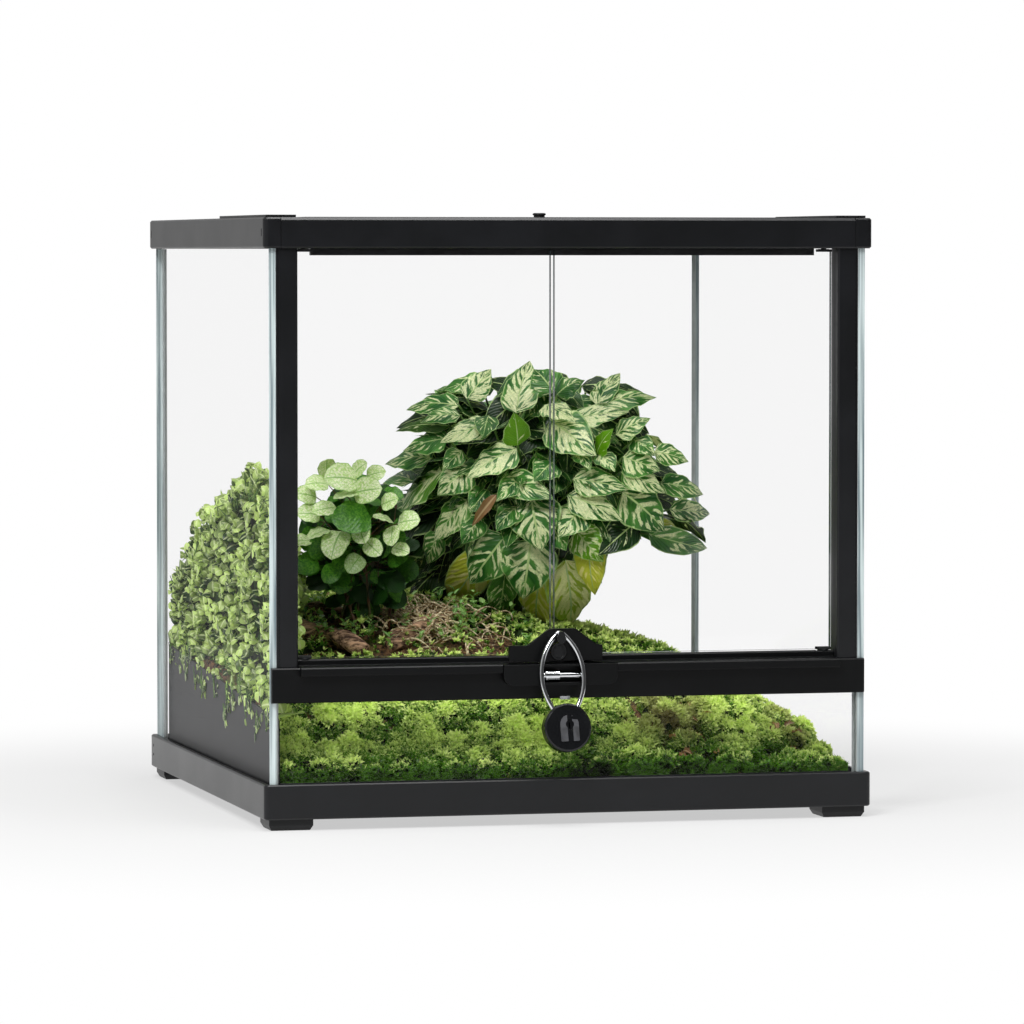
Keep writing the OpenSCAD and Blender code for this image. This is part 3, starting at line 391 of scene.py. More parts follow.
def ripple(x, y, size, seed):
    """Smooth random hills about size across and between -1 and 1: a sum of nine waves that run in
    random directions with random phases."""
    rng = np.random.default_rng(seed)
    way = rng.uniform(0, 2 * np.pi, 9)
    length = size * rng.uniform(1.2, 2.6, 9)
    phase = rng.uniform(0, 2 * np.pi, 9)
    along = x[..., None] * np.cos(way) + y[..., None] * np.sin(way)
    return np.sin(along * 2 * np.pi / length + phase).sum(-1) / 3.6

# %% [markdown]
# ## The lie of the land
# The bed is banked: high at the back left where the trailing plant hangs over the liner, low and
# falling away at the right. In front it slopes down to the lower window, so that the moss can be
# seen through it from above. One function gives the height of the ground at every place, and
# everything that grows starts from it. x and y are measured from the middle of the box. It could
# be sculpted, but a formula can tell the soil, the moss and every stem how high the ground is at
# their own place.

# %% The bed's floor and a smooth step
FLOOR_Z = tray_lo.z + TRAY_WALL


def eased(t):
    """Nought below 0, one above 1, and t*t*(3 - 2t) between."""
    t = np.clip(t, 0, 1)
    return t * t * (3 - 2 * t)

# %% The ground and the cushion on it
LEFT_PANE = -212.7     # mm, where the trailing plant's cushion meets the left pane


def ground(x, y):
    """Height of the ground. A level bank, less a slope and then a curve at the right, less a hollow
    beside the left pane, plus a round hill at the back left; then pressed down along the front."""
    hollow = np.exp(-((x - LEFT_PANE * MM) / (16 * MM)) ** 2) * eased((y / MM + 150) / 60)
    bank = (90.5 * MM - 0.43 * np.maximum(0, x - 120 * MM)
            - 0.09 / MM * np.maximum(0, x - 201 * MM) ** 2 - 30 * MM * hollow)
    hill = 58 * MM * np.exp(-((x + 100 * MM) / (210 * MM)) ** 2) * eased((y / MM + 190) / 190)
    level = bank + hill
    front = 0.1 + 0.9 * eased((y / MM + 212) / 88)
    low = FLOOR_Z + 8 * MM
    return low + (level - low) * front


def bush(x, y):
    """Height of the trailing plant's rounded top: an arch along y over the left pane, falling to
    the ground in a quarter of an ellipse across x, which is narrow at the front and 58 mm wide
    behind."""
    yy = y / MM
    along = np.where(yy < -125, 247 - 55 * ((yy + 125) / 80) ** 2,
                     247 - 0.09 * (yy + 125) - 0.0006 * (yy + 125) ** 2) * MM
    across = (x / MM - LEFT_PANE) / (16 + 42 * eased((yy + 150) / 150))
    return ground(x, y) + (along - ground(x, y)) * np.sqrt(np.maximum(0, 1 - across ** 2))


def at(x, y, z):
    """Points of the planting, measured from the middle of the box, in the model's own frame."""
    x, y, z = np.broadcast_arrays(x, y, z)
    return np.stack([x, y + MIDDLE_Y, z], -1)


print("ground at the front middle", round(float(ground(np.array(0.0), np.array(-0.21))) / MM, 1),
      "mm, at the hill", round(float(ground(np.array(-0.1), np.array(0.1))) / MM, 1), "mm")

# %% [markdown]
# ## Soil
# The soil is damp and dark, with crumbs, fibres and half-rotted bark. It is a solid with a lumpy
# top: the same ground function, roughened by several sizes of hills. Its sides follow the tray.
# The crumbs are drawn by the material. Thousands of small stones would also do, at a great cost,
# for something that is seen only at its edges and through moss.

# %% The soil's material
def earth(name):
    """Dark damp soil: crumbs in two browns, green where it is overgrown, matt, strongly bumped."""
    material, tree = blank(name)
    where = add(tree, "TexCoord", {}, "Object")
    crumbs = add(tree, "TexNoise", {"Vector": where, "Scale": 1 / (3 * MM), "Detail": 5.0,
                                    "Roughness": 0.65})
    patches = add(tree, "TexNoise", {"Vector": where, "Scale": 1 / (24 * MM), "Detail": 4.0,
                                     "Roughness": 0.6})
    pale = add(tree, "MapRange", {0: crumbs, 1: 0.35, 2: 0.68}, **EASED)
    brown = add(tree, "Mix", {0: pale, 6: linear("#22150b"), 7: linear("#8a6440")}, 2, **COLOUR)
    grown = add(tree, "MapRange", {0: patches, 1: 0.52, 2: 0.66}, **EASED)
    mossy = add(tree, "Mix", {0: grown, 6: brown, 7: linear("#5a6620")}, 2, **COLOUR)
    bump = add(tree, "Bump", {"Height": crumbs, "Distance": 2.5 * MM, "Strength": 1.0})
    skin = add(tree, "BsdfPrincipled", {"Base Color": mossy, "Roughness": 0.9, "Normal": bump})
    add(tree, "OutputMaterial", {0: skin})
    return material

# %% A solid between two heights
def solid_between(x, y, top, bottom):
    """A closed solid between two height grids: the top, the bottom turned over, and four walls."""
    rows, columns = x.shape
    points = np.concatenate([at(x, y, top).reshape(-1, 3), at(x, y, bottom).reshape(-1, 3)])
    up = grid_faces(rows, columns)
    down = up[:, ::-1] + rows * columns
    index = np.arange(rows * columns).reshape(rows, columns)
    rim = np.concatenate([index[0, :], index[1:, -1], index[-1, -2::-1], index[-2:0:-1, 0]])
    after = np.roll(rim, -1)
    walls = np.stack([after, rim, rim + rows * columns, after + rows * columns], -1)
    return points, np.concatenate([up, down, walls])


def bed_grid(columns, rows, edge=0.5 * MM):
    """Places all over the bed, as two arrays x and y."""
    return np.meshgrid(np.linspace(-BED_X + edge, BED_X - edge, columns),
                       np.linspace(-BED_Y + edge, BED_Y - edge, rows))

# %% Lay the soil
EARTH = earth("damp_potting_soil")
soil_x, soil_y = bed_grid(230, 210)
lumps = (2.2 * ripple(soil_x, soil_y, 22 * MM, 1) + 1.2 * ripple(soil_x, soil_y, 8 * MM, 2)
         + 0.6 * ripple(soil_x, soil_y, 3.5 * MM, 3)) * MM
soil_top = np.maximum(ground(soil_x, soil_y) - 5 * MM + lumps, FLOOR_Z + 1 * MM)
soil_low = np.full(soil_x.shape, FLOOR_Z)
soil = make_piece("soil_bank", *solid_between(soil_x, soil_y, soil_top, soil_low), EARTH,
                  slot="earth")
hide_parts("soil")

# %% [markdown]
# ## Moss
# Sheet moss is a mat of thousands of tiny branching shoots. It swells into cushions: the tips
# catch the light and look yellow-green, while the hollows between cushions are nearly black. One
# shoot is a tuft of narrow leaves that fan out from a point, each leaf a bent strip of two faces.
# Tufts are strewn over the ground, thickest behind the lower window, and lean and grow with the
# cushions. Each tuft carries a number, how far up its cushion it stands, and its colour is
# painted from it: painted light on the cushion tops and painted shade in the hollows. Hair
# particles are quicker to set up, but they are no mesh until they are converted, and they have
# no breadth that catches the light.

# %% The moss's material
def leafy(name, dark, middle, bright, shine=0.5, through=0.35):
    """Thin green leaves: colour from the attribute tone, 0 dark to 1 bright, turned brown by the
    attribute withered, with some light coming through from behind, and a soft gloss."""
    material, tree = blank(name)
    tone = add(tree, "Attribute", {}, "Fac", attribute_name="tone")
    lower = add(tree, "MapRange", {0: tone, 1: 0.0, 2: 0.5}, **EASED)
    upper = add(tree, "MapRange", {0: tone, 1: 0.5, 2: 1.0}, **EASED)
    tint = add(tree, "Mix", {0: lower, 6: linear(dark), 7: linear(middle)}, 2, **COLOUR)
    tint = add(tree, "Mix", {0: upper, 6: tint, 7: linear(bright)}, 2, **COLOUR)
    withered = add(tree, "Attribute", {}, "Fac", attribute_name="withered")
    tint = add(tree, "Mix", {0: withered, 6: tint, 7: linear("#5c4624")}, 2, **COLOUR)
    skin = add(tree, "BsdfPrincipled", {"Base Color": tint, "Roughness": shine, "IOR": 1.4})
    glow = add(tree, "BsdfTranslucent", {"Color": tint})
    both = add(tree, "MixShader", {0: through, 1: skin, 2: glow})
    add(tree, "OutputMaterial", {0: both})
    return material

# %% Tufts of narrow leaves
BLADES = 5
ALONG_BLADE = np.array([0.0, 0.55, 1.0])      # where a blade's three pairs of points stand
TUFT_POINTS = 2 * len(ALONG_BLADE) * BLADES


def tufts(roots, upright, size, rng, spread=0.95, width=0.2):
    """Points and faces of many tufts. roots and upright are (n, 3), size is (n,). Blade b of a tuft
    leaves its root at angle 2 pi b / BLADES (plus a random turn), rises along upright and bends
    outwards: a point at t along it is root + size (upright * rise(t) + out * reach(t))."""
    n = len(roots)
    turn = rng.uniform(0, 2 * np.pi, (n, 1)) + 2 * np.pi * np.arange(BLADES) / BLADES
    turn = turn + rng.normal(0, 0.25, turn.shape)
    helper = np.where(np.abs(upright[:, 2:3]) > 0.9, [[1.0, 0, 0]], [[0, 0, 1.0]])
    east = unit(np.cross(upright, helper))
    north = np.cross(upright, east)
    out = np.cos(turn)[..., None] * east[:, None] + np.sin(turn)[..., None] * north[:, None]
    across = -np.sin(turn)[..., None] * east[:, None] + np.cos(turn)[..., None] * north[:, None]
    lean = rng.uniform(0.35, 1.0, (n, BLADES, 1)) * spread
    t = ALONG_BLADE
    rise = (t - 0.42 * lean * t ** 2)[..., None]
    reach = (lean * (0.35 * t + 0.65 * t ** 1.6))[..., None]
    half = (width * np.array([0.5, 1.0, 0.12]))[:, None]
    length = size[:, None, None, None] * rng.uniform(0.7, 1.15, (n, BLADES, 1, 1))
    rising = rise * upright[:, None, None] + reach * out[:, :, None]
    middle = roots[:, None, None] + length * rising
    shift = length * half * across[:, :, None]
    points = np.stack([middle - shift, middle + shift], 3)
    return points.reshape(-1, 3), grid_faces(len(t), 2, n * BLADES)


def up_the_blades(count):
    """How far up its blade each point of count tufts stands, 0 at the root and 1 at the tip."""
    return np.tile(np.repeat(ALONG_BLADE, 2), count * BLADES)

# %% Where the moss swells, dries and leaves the ground bare
def domes(x, y, size, seed):
    """Round hills set close together: the plane is cut into cells of the given size, each holds
    one centre somewhere inside, and the height is the largest 1 - (distance / 0.8 size)^2 of the
    centres in the nine cells around."""
    rng = np.random.default_rng(seed)
    shift = rng.uniform(0.1, 0.9, (64, 64, 3))
    i, j = np.floor(x / size).astype(int), np.floor(y / size).astype(int)
    best = np.zeros(np.shape(x))
    for di in (-1, 0, 1):
        for dj in (-1, 0, 1):
            own = shift[(i + di) % 64, (j + dj) % 64]
            far = np.hypot(x / size - i - di - own[..., 0], y / size - j - dj - own[..., 1])
            best = np.maximum(best, (1 - (far / 0.8) ** 2) * (0.65 + 0.35 * own[..., 2]))
    return best


def cushion(x, y):
    """How high the moss swells, 0 in a hollow and 1 on top: clumps of 16 mm that carry smaller ones
    of 6 mm, on slow hills of 30 mm."""
    clumps = 0.75 * domes(x, y, 16 * MM, 11) + 0.42 * domes(x, y, 6 * MM, 12)
    return eased((clumps + 0.1 * ripple(x, y, 30 * MM, 13) - 0.12) / 0.95)


def bare(x, y):
    """Where the soil shows: 1 on the open ground behind the front strip of moss, 0 elsewhere."""
    patch = np.exp(-((x + 85 * MM) / (90 * MM)) ** 4) * eased((y / MM + 122) / 26)
    return np.clip(patch * (0.85 + 0.5 * ripple(x, y, 18 * MM, 14)), 0, 1)


def ground_slope(x, y, height, step=1.0 * MM):
    """Unit vectors square to a height function."""
    dx = (height(x + step, y) - height(x - step, y)) / (2 * step)
    dy = (height(x, y + step) - height(x, y - step)) / (2 * step)
    return unit(np.stack([-dx, -dy, np.ones_like(dx)], -1))


def mossy_top(x, y):
    """The height of the moss mat: the ground, less a little, plus its cushions."""
    return ground(x, y) - 8 * MM + 15 * MM * cushion(x, y)


def dried(x, y):
    """How brown the moss is: 1 in the middle of two patches at the right of the window."""
    first = np.exp(-((x / MM - 88) / 26) ** 2 - ((y / MM + 165) / 20) ** 2)
    second = np.exp(-((x / MM - 182) / 12) ** 2 - ((y / MM + 150) / 22) ** 2)
    return np.clip((first + second) * (0.75 + 0.6 * ripple(x, y, 12 * MM, 18)), 0, 0.85)

# %% One piece of moss
def moss_patch(name, count, x_range, y_range, size, seed):
    """One piece of moss: tufts strewn over a rectangle of the bed."""
    rng = np.random.default_rng(seed)
    x = rng.uniform(*x_range, count) * MM
    y = rng.uniform(*y_range, count) * MM
    keep = rng.uniform(0, 1, count) > 0.93 * bare(x, y)
    x, y = x[keep], y[keep]
    high = cushion(x, y)
    upright = unit(ground_slope(x, y, mossy_top) + rng.normal(0, 0.22, (len(x), 3)))
    roots = at(x, y, mossy_top(x, y) - 1 * MM)
    scale = rng.uniform(*size, len(x)) * MM * (0.75 + 0.5 * high)
    points, faces = tufts(roots, upright, scale, rng)
    points[:, 0] = np.clip(points[:, 0], -BED_X, BED_X)
    points[:, 1] = np.clip(points[:, 1] - MIDDLE_Y, -BED_Y, BED_Y) + MIDDLE_Y
    # painted shade of the base frame: darkest in front and at the window's foot; lightest behind
    # the door sill, darker again on the bank behind; fresh adds the moss's own random greens
    lit = 0.44 * eased((y / MM + 212) / 62) - 0.2 * eased((y / MM + 125) / 50)
    fresh = 0.12 * ripple(x, y, 60 * MM, 15) + 0.1 * rng.normal(0, 1, len(x)) + lit - 0.4
    # painted light and shade: lighter on cushion tops and blade tips, darker in the hollows
    tone = (np.repeat(1.05 * high ** 1.3 + fresh, TUFT_POINTS)
            + 0.62 * up_the_blades(len(x)) - 0.26)
    return make_piece(name, points, faces, MOSS, slot="moss",
                      values={"tone": np.clip(tone, 0, 1),
                              "withered": np.repeat(dried(x, y), TUFT_POINTS)})

# %% Moss at the left of the window
# the moss's bright end is its yellow-green tips with a painted highlight on them
MOSS = leafy("sheet_moss", "#091302", "#568e1a", "#ecff96", 0.4, 0.3)
TUFTS = 9500                                              # in each patch
AT_WINDOW, BEHIND = (-212, -125), (-125, 212)             # y in mm
TALL, SHORT = (2.7, 4.9), (2.5, 4.4)                      # a tuft's size in mm
moss = moss_patch("moss_window_left", TUFTS, (-212, -70), AT_WINDOW, TALL, 31)
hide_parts("moss_bed")

# %% Moss against the front pane
def front_moss(count, rng):
    """Moss that stands against the front pane, from behind the base frame up to the ground's
    edge."""
    lowest = 29 * MM
    x = rng.uniform(-211, 211, count) * MM
    top = mossy_top(x, np.full(count, -0.2085))
    z = lowest + np.maximum(top - 28 * MM, 3 * MM) * rng.uniform(0, 1, count)
    high = eased((0.75 * domes(x, z, 14 * MM, 16) + 0.4 * domes(x, z, 5 * MM, 17) - 0.12) / 0.95)
    roots = at(x, (-210.8 + 2.5 * (1 - high)) * MM, z)
    upright = unit(np.array([0.0, -0.5, 0.85]) + rng.normal(0, 0.3, (count, 3)))
    points, faces = tufts(roots, upright, rng.uniform(2.8, 4.8, count) * MM, rng)
    points[:, 1] = np.clip(points[:, 1], MIDDLE_Y - BED_Y, None)
    # painted shade of the base frame: this moss is kept dark, a little lighter on bumps and tips
    shaded_tone = -0.2 + 0.42 * high + 0.06 * rng.normal(0, 1, count)
    tone = np.repeat(shaded_tone, TUFT_POINTS) + 0.25 * up_the_blades(count)
    make_piece("moss_front", points, faces, MOSS, slot="moss", values={"tone": np.clip(tone, 0, 1)})


front_moss(6000, np.random.default_rng(36))

# %% The rest of the moss
moss_patch("moss_window_middle", TUFTS, (-70, 72), AT_WINDOW, TALL, 32)
moss_patch("moss_window_right", TUFTS, (72, 212), AT_WINDOW, TALL, 33)
moss_patch("moss_bank_left", TUFTS, (-212, 0), BEHIND, SHORT, 34)
moss_patch("moss_bank_right", TUFTS, (0, 212), BEHIND, SHORT, 35)

# %% Lay the mat under the moss
# a mat under the tufts closes the gaps between them; its dark colour is painted shade, a little
# lighter where the cushions rise
SHADED_MAT = leafy("moss_mat", "#0d1405", "#22360d", "#3d5a18", 0.9, 0.0)
mat_x, mat_y = bed_grid(220, 200, 3 * MM)
mat_top = np.where(bare(mat_x, mat_y) > 0.35, ground(mat_x, mat_y) - 9 * MM,
                   mossy_top(mat_x, mat_y) - 1.5 * MM)
mat_top = np.maximum(mat_top, FLOOR_Z + 2 * MM)
mat_low = np.maximum(mat_top - 9 * MM, FLOOR_Z + 1 * MM)
mat_shade = np.clip(cushion(mat_x, mat_y).ravel() - 0.3, 0, 1)
make_piece("moss_mat", *solid_between(mat_x, mat_y, mat_top, mat_low), SHADED_MAT, slot="moss",
           values={"tone": np.tile(mat_shade, 2)})

# %% [markdown]
# ## A leaf as a surface
# Every leaf in the box, from the pin-head leaves of the trailing plant to the broad ones, is the
# same surface with other numbers. One direction, u, runs from the leaf's foot to its tip and the
# other, v, from edge to edge. The midrib is a bow between the two ends. The blade's half width
# follows u^a (1-u)^b, which is nought at both ends and widest near the foot. Across, the blade
# lifts like a shallow trough, and its margin waves up and down. A flat card with a cut-out
# picture would be cheaper, but it has no bend, and a leaf is told by its own light and shade.

# %% The leaf function
NARROWEST = 0.012  # of the half width, so that neither end closes to a point


def leaves(foot, tip, facing, width, bow, rows=12, columns=7, a=0.55, b=1.0, trough=0.14,
           wave=0.06):
    """Many leaves at once; foot, tip and facing are (n, 3), width and bow are (n,). The midrib is
    foot + u (tip - foot) + 4 bow u (1 - u) * length * lift, where lift is the part of facing that
    is square to the line from foot to tip. The point (u, v) stands v times the half width to the
    side, and trough |v|^1.5 + wave sin(2 pi (3 u + v / 3) + turn) v^2 times the half width above
    the midrib, where turn differs from leaf to leaf. Returns points (n, rows, columns, 3), faces,
    and the u and v of each point."""
    n = len(foot)
    u = np.linspace(0.0, 1.0, rows)
    v = np.linspace(-1.0, 1.0, columns)
    chord = tip - foot
    length = np.linalg.norm(chord, axis=-1)
    along = chord / length[:, None]
    lift = unit(facing - (facing * along).sum(-1, keepdims=True) * along)
    side = np.cross(along, lift)
    height = 4 * bow[:, None] * u * (1 - u)
    slope = 4 * bow[:, None] * (1 - 2 * u)
    bowed = u[:, None] * along[:, None] + height[..., None] * lift[:, None]
    midrib = foot[:, None] + length[:, None, None] * bowed
    above = unit(lift[:, None] - slope[..., None] * along[:, None])
    peak = a / (a + b)
    outline = u ** a * (1 - u) ** b / (peak ** a * (1 - peak) ** b)
    half = (width / 2)[:, None] * np.maximum(outline, NARROWEST)
    turn = np.arange(n)[:, None, None] * 2.4
    rise = (trough * np.abs(v) ** 1.5
            + wave * np.sin(2 * np.pi * (3 * u[None, :, None] + v / 3) + turn) * v ** 2)
    points = (midrib[:, :, None] + (v * half[..., None])[..., None] * side[:, None, None]
              + (rise * half[..., None])[..., None] * above[:, :, None])
    uv = np.stack(np.broadcast_arrays(u[None, :, None], 0.5 + 0.5 * v + 0 * turn), -1)
    return points, grid_faces(rows, columns, n)[:, ::-1], uv.reshape(-1, 2)


def per_leaf(values, points):
    """One value for each leaf, repeated for all of its points."""
    return np.repeat(values, points.shape[1] * points.shape[2])

# %% [markdown]
# ## Colours of the plants
# The broad leaves are dark green and feathered with cream between the side veins; the lowest ones
# turn yellow from the edge. The round leaves are pale, mottled, with green veins. The trailing
# plant's leaves are plain light green. The patterns follow each leaf's own u and v, so they bend
# with it, and two numbers that each leaf carries, tone and one for cream and shade, set how green
# and how feathered it is; where the second is low, the broad leaf is painted dark, as shade. Deep
# in the round and trailing plants, tone paints the leaves darker, as shade, too. A painted
# picture would repeat the same marks on every leaf; noise gives each one its own.

# %% What the leaf finishes share
def waxy_blade(tree, tint, height, gloss, glow=0.2, depth=0.5 * MM):
    """The blade: a waxy face with the veins as bump, mixed with light that comes through it."""
    bump = add(tree, "Bump", {"Height": height, "Distance": depth, "Strength": 0.6})
    skin = add(tree, "BsdfPrincipled", {"Base Color": tint, "Roughness": gloss, "IOR": 1.45,
                                        "Normal": bump})
    backlit = add(tree, "Mix", {0: 0.6, 6: tint, 7: linear("#c6e03c")}, 2,
                  blend_type="SOFT_LIGHT", **COLOUR)
    through = add(tree, "BsdfTranslucent", {"Color": backlit})
    both = add(tree, "MixShader", {0: glow, 1: skin, 2: through})
    add(tree, "OutputMaterial", {0: both})


def place_on_leaf(tree):
    """Where a point lies on its leaf: u from foot to tip, v from edge to edge, and off, its
    distance from the midrib, 0 there and 1 at the edge."""
    uv = add(tree, "UVMap", {}, uv_map="UVMap")
    u, v = add(tree, "SeparateXYZ", {0: uv}, 0), add(tree, "SeparateXYZ", {0: uv}, 1)
    off = add(tree, "Math", {0: v, 1: -0.5}, operation="ADD")
    off = add(tree, "Math", {0: off}, operation="ABSOLUTE")
    return u, v, add(tree, "Math", {0: off, 1: 2.0}, operation="MULTIPLY")


def side_veins(tree, slant, pairs):
    """Nought on each side vein and one between them: |sin(pi pairs slant)|."""
    wave = add(tree, "Math", {0: slant, 1: pairs * np.pi}, operation="MULTIPLY")
    wave = add(tree, "Math", {0: wave}, operation="SINE")
    return add(tree, "Math", {0: wave}, operation="ABSOLUTE")

# %% The feathered leaf
def feathered_leaf(name):
    """Green blade brushed with cream along its side veins. Noise is read at 11 (u - 0.36 off)
    across the strokes and 4 v along them, where off is the distance from the midrib, so each
    stroke runs with the veins. A sine along the slanted direction sets the strokes between the
    veins, and they thin out near the rim; own shifts it all from leaf to leaf, and the leaf's
    number for cream and shade sets how much shows. Where that number is low, the green under
    the strokes is painted nearly black, as shade."""
    material, tree = blank(name)
    u, v, off = place_on_leaf(tree)
    where = add(tree, "TexCoord", {}, "Object")
    tone = add(tree, "Attribute", {}, "Fac", attribute_name="tone")
    cream_and_shade = add(tree, "Attribute", {}, "Fac", attribute_name="cream_and_shade")
    own = add(tree, "Attribute", {}, "Fac", attribute_name="own")
    own = add(tree, "Math", {0: own, 1: 60.0}, operation="MULTIPLY")
    # the strokes: stretched noise, plus a sine that keeps them between the veins
    slant = add(tree, "Math", {0: off, 1: -0.36, 2: u}, operation="MULTIPLY_ADD")
    across = add(tree, "Math", {0: slant, 1: 11.0}, operation="MULTIPLY")
    along = add(tree, "Math", {0: v, 1: 4.0}, operation="MULTIPLY")
    place = add(tree, "CombineXYZ", {0: across, 1: along, 2: own})
    strokes = add(tree, "TexNoise", {"Vector": place, "Scale": 1.0, "Detail": 3.0,
                                     "Roughness": 0.5, "Distortion": 0.35})
    slow = add(tree, "TexNoise", {"Vector": place, "Scale": 0.3, "Detail": 2.0})
    patches = add(tree, "MapRange", {0: slow, 1: 0.35, 2: 0.65, 3: -0.07, 4: 0.07})
    more = add(tree, "Math", {0: cream_and_shade, 1: 0.2, 2: -0.2}, operation="MULTIPLY_ADD")
    rim = add(tree, "MapRange", {0: off, 1: 0.7, 2: 0.9, 3: 0.0, 4: -0.12}, **EASED)
    level = strokes
    for change in (more, patches, rim):
        level = add(tree, "Math", {0: level, 1: change}, operation="ADD")
    beat = add(tree, "Math", {0: slant, 1: 13 * np.pi, 2: own}, operation="MULTIPLY_ADD")
    beat = add(tree, "Math", {0: beat}, operation="SINE")
    level = add(tree, "Math", {0: beat, 1: 0.055, 2: level}, operation="MULTIPLY_ADD")
    streak = add(tree, "MapRange", {0: level, 1: 0.465, 2: 0.565}, **EASED)
    fine = add(tree, "TexNoise", {"Vector": where, "Scale": 1 / (1.3 * MM), "Detail": 3.0})
    speckle = add(tree, "MapRange", {0: fine, 1: 0.3, 2: 0.6, 3: 0.72, 4: 1.0})
    share = add(tree, "Math", {0: streak, 1: speckle}, operation="MULTIPLY", use_clamp=True)
    # the green under them: painted shade, nearly black-green, where the number for cream is low;
    # then fresh, then yellow with age
    mottle = add(tree, "MapRange", {0: slow, 1: 0.35, 2: 0.65})
    deep = add(tree, "MapRange", {0: cream_and_shade, 1: 0.55, 2: 0.15}, **EASED)
    fresh = add(tree, "MapRange", {0: tone, 1: 0.2, 2: 0.55}, **EASED)
    aged = add(tree, "MapRange", {0: tone, 1: 0.62, 2: 0.9}, **EASED)
    green, ivory = linear("#1f5f1c"), linear("#b4e07c")
    for amount, colour in ((mottle, "#5c9c40"), (deep, "#12330a"), (fresh, "#67a212"),
                           (aged, "#d8dc4a")):
        green = add(tree, "Mix", {0: amount, 6: green, 7: linear(colour)}, 2, **COLOUR)
    for amount, colour in ((speckle, "#f6fcc4"), (aged, "#fff8a0")):
        ivory = add(tree, "Mix", {0: amount, 6: ivory, 7: linear(colour)}, 2, **COLOUR)
    tint = add(tree, "Mix", {0: share, 6: green, 7: ivory}, 2, **COLOUR)
    midrib = add(tree, "MapRange", {0: off, 1: 0.06, 2: 0.02}, **EASED)
    edge = add(tree, "MapRange", {0: off, 1: 0.9, 2: 0.97, 3: 0.0, 4: 0.75}, **EASED)
    for amount, colour in ((midrib, "#c3dc92"), (edge, "#bcd98c")):
        tint = add(tree, "Mix", {0: amount, 6: tint, 7: linear(colour)}, 2, **COLOUR)
    groove = add(tree, "MapRange", {0: off, 1: 0.0, 2: 0.1, 3: 0.0, 4: 1.5}, **EASED)
    ribs = add(tree, "Math", {0: side_veins(tree, slant, 12), 1: groove}, operation="ADD")
    waxy_blade(tree, tint, ribs, 0.32)
    return material

# %% The mottled leaf
def mottled_leaf(name):
    """Pale leaf flecked with white, its veins a deeper green. Tone from 0.5 to 0.7 makes it plain
    dark green, and tone from 0.85 to 1 paints it nearly black-green, as painted shade.
    """
    material, tree = blank(name)
    u, _, off = place_on_leaf(tree)
    where = add(tree, "TexCoord", {}, "Object")
    tone = add(tree, "Attribute", {}, "Fac", attribute_name="tone")
    fleck = add(tree, "TexNoise", {"Vector": where, "Scale": 1 / (1.6 * MM), "Detail": 4.0,
                                   "Roughness": 0.7})
    slant = add(tree, "Math", {0: off, 1: -0.45, 2: u}, operation="MULTIPLY_ADD")
    veins = side_veins(tree, slant, 8)
    spots = add(tree, "MapRange", {0: fleck, 1: 0.4, 2: 0.62}, **EASED)
    line = add(tree, "MapRange", {0: veins, 1: 0.22, 2: 0.04, 3: 0.0, 4: 0.7}, **EASED)
    midrib = add(tree, "MapRange", {0: off, 1: 0.09, 2: 0.02}, **EASED)
    rim = add(tree, "MapRange", {0: off, 1: 0.9, 2: 0.98, 3: 0.0, 4: 0.7}, **EASED)
    pale = linear("#bfe088")
    for amount, colour in ((spots, "#f6fcd8"), (line, "#79ab55"), (midrib, "#8dbb62"),
                           (rim, "#86b652")):
        pale = add(tree, "Mix", {0: amount, 6: pale, 7: linear(colour)}, 2, **COLOUR)
    deep = add(tree, "Mix", {0: spots, 6: linear("#347016"), 7: linear("#5f9c2c")}, 2, **COLOUR)
    plain = add(tree, "MapRange", {0: tone, 1: 0.5, 2: 0.7}, **EASED)
    shaded = add(tree, "MapRange", {0: tone, 1: 0.85, 2: 1.0}, **EASED)
    tint = add(tree, "Mix", {0: plain, 6: pale, 7: deep}, 2, **COLOUR)
    tint = add(tree, "Mix", {0: shaded, 6: tint, 7: linear("#1a3f10")}, 2, **COLOUR)
    waxy_blade(tree, tint, veins, 0.36, depth=0.18 * MM)
    return material

# %% Plain leaves and stalks
def plain_leaf(name, dark, bright, vein):
    """Leaf of one colour, paler along the midrib, from dark at tone 0 to bright at tone 1."""
    material, tree = blank(name)
    off = place_on_leaf(tree)[2]
    tone = add(tree, "Attribute", {}, "Fac", attribute_name="tone")
    tint = add(tree, "Mix", {0: tone, 6: linear(dark), 7: linear(bright)}, 2, **COLOUR)
    midrib = add(tree, "MapRange", {0: off, 1: 0.28, 2: 0.06, 3: 0.0, 4: 0.6}, **EASED)
    tint = add(tree, "Mix", {0: midrib, 6: tint, 7: linear(vein)}, 2, **COLOUR)
    trough = add(tree, "Math", {0: off, 1: 0.5}, operation="MULTIPLY")
    waxy_blade(tree, tint, trough, 0.36, 0.28, 0.4 * MM)
    return material


def stalk(name, colour, tip):
    """Stems: smooth and slightly glossy, two colours blended by slow noise."""
    material, tree = blank(name)
    where = add(tree, "TexCoord", {}, "Object")
    slow = add(tree, "TexNoise", {"Vector": where, "Scale": 1 / (8 * MM), "Detail": 3.0})
    share = add(tree, "MapRange", {0: slow, 1: 0.35, 2: 0.65}, **EASED)
    tint = add(tree, "Mix", {0: share, 6: linear(colour), 7: linear(tip)}, 2, **COLOUR)
    skin = add(tree, "BsdfPrincipled", {"Base Color": tint, "Roughness": 0.45})
    add(tree, "OutputMaterial", {0: skin})
    return material


FEATHERED = feathered_leaf("feathered_broad_leaf")
MOTTLED = mottled_leaf("mottled_round_leaf")
# the trailing leaves run from painted shade deep in the cushion to a painted highlight outside
TRAILING = plain_leaf("trailing_leaf", "#1a3c06", "#dffa96", "#f6ffc8")
SPROUT = plain_leaf("sprout_leaf", "#4a8436", "#a8d27c", "#cfe8a8")
DRY = plain_leaf("dry_leaf", "#5c4026", "#b08658", "#dcc294")
GREEN_STALK = stalk("green_stalk", "#35581c", "#5f8432")
RED_STALK = stalk("red_stalk", "#3a3a16", "#5c341a")
print("materials so far:", len(bpy.data.materials))
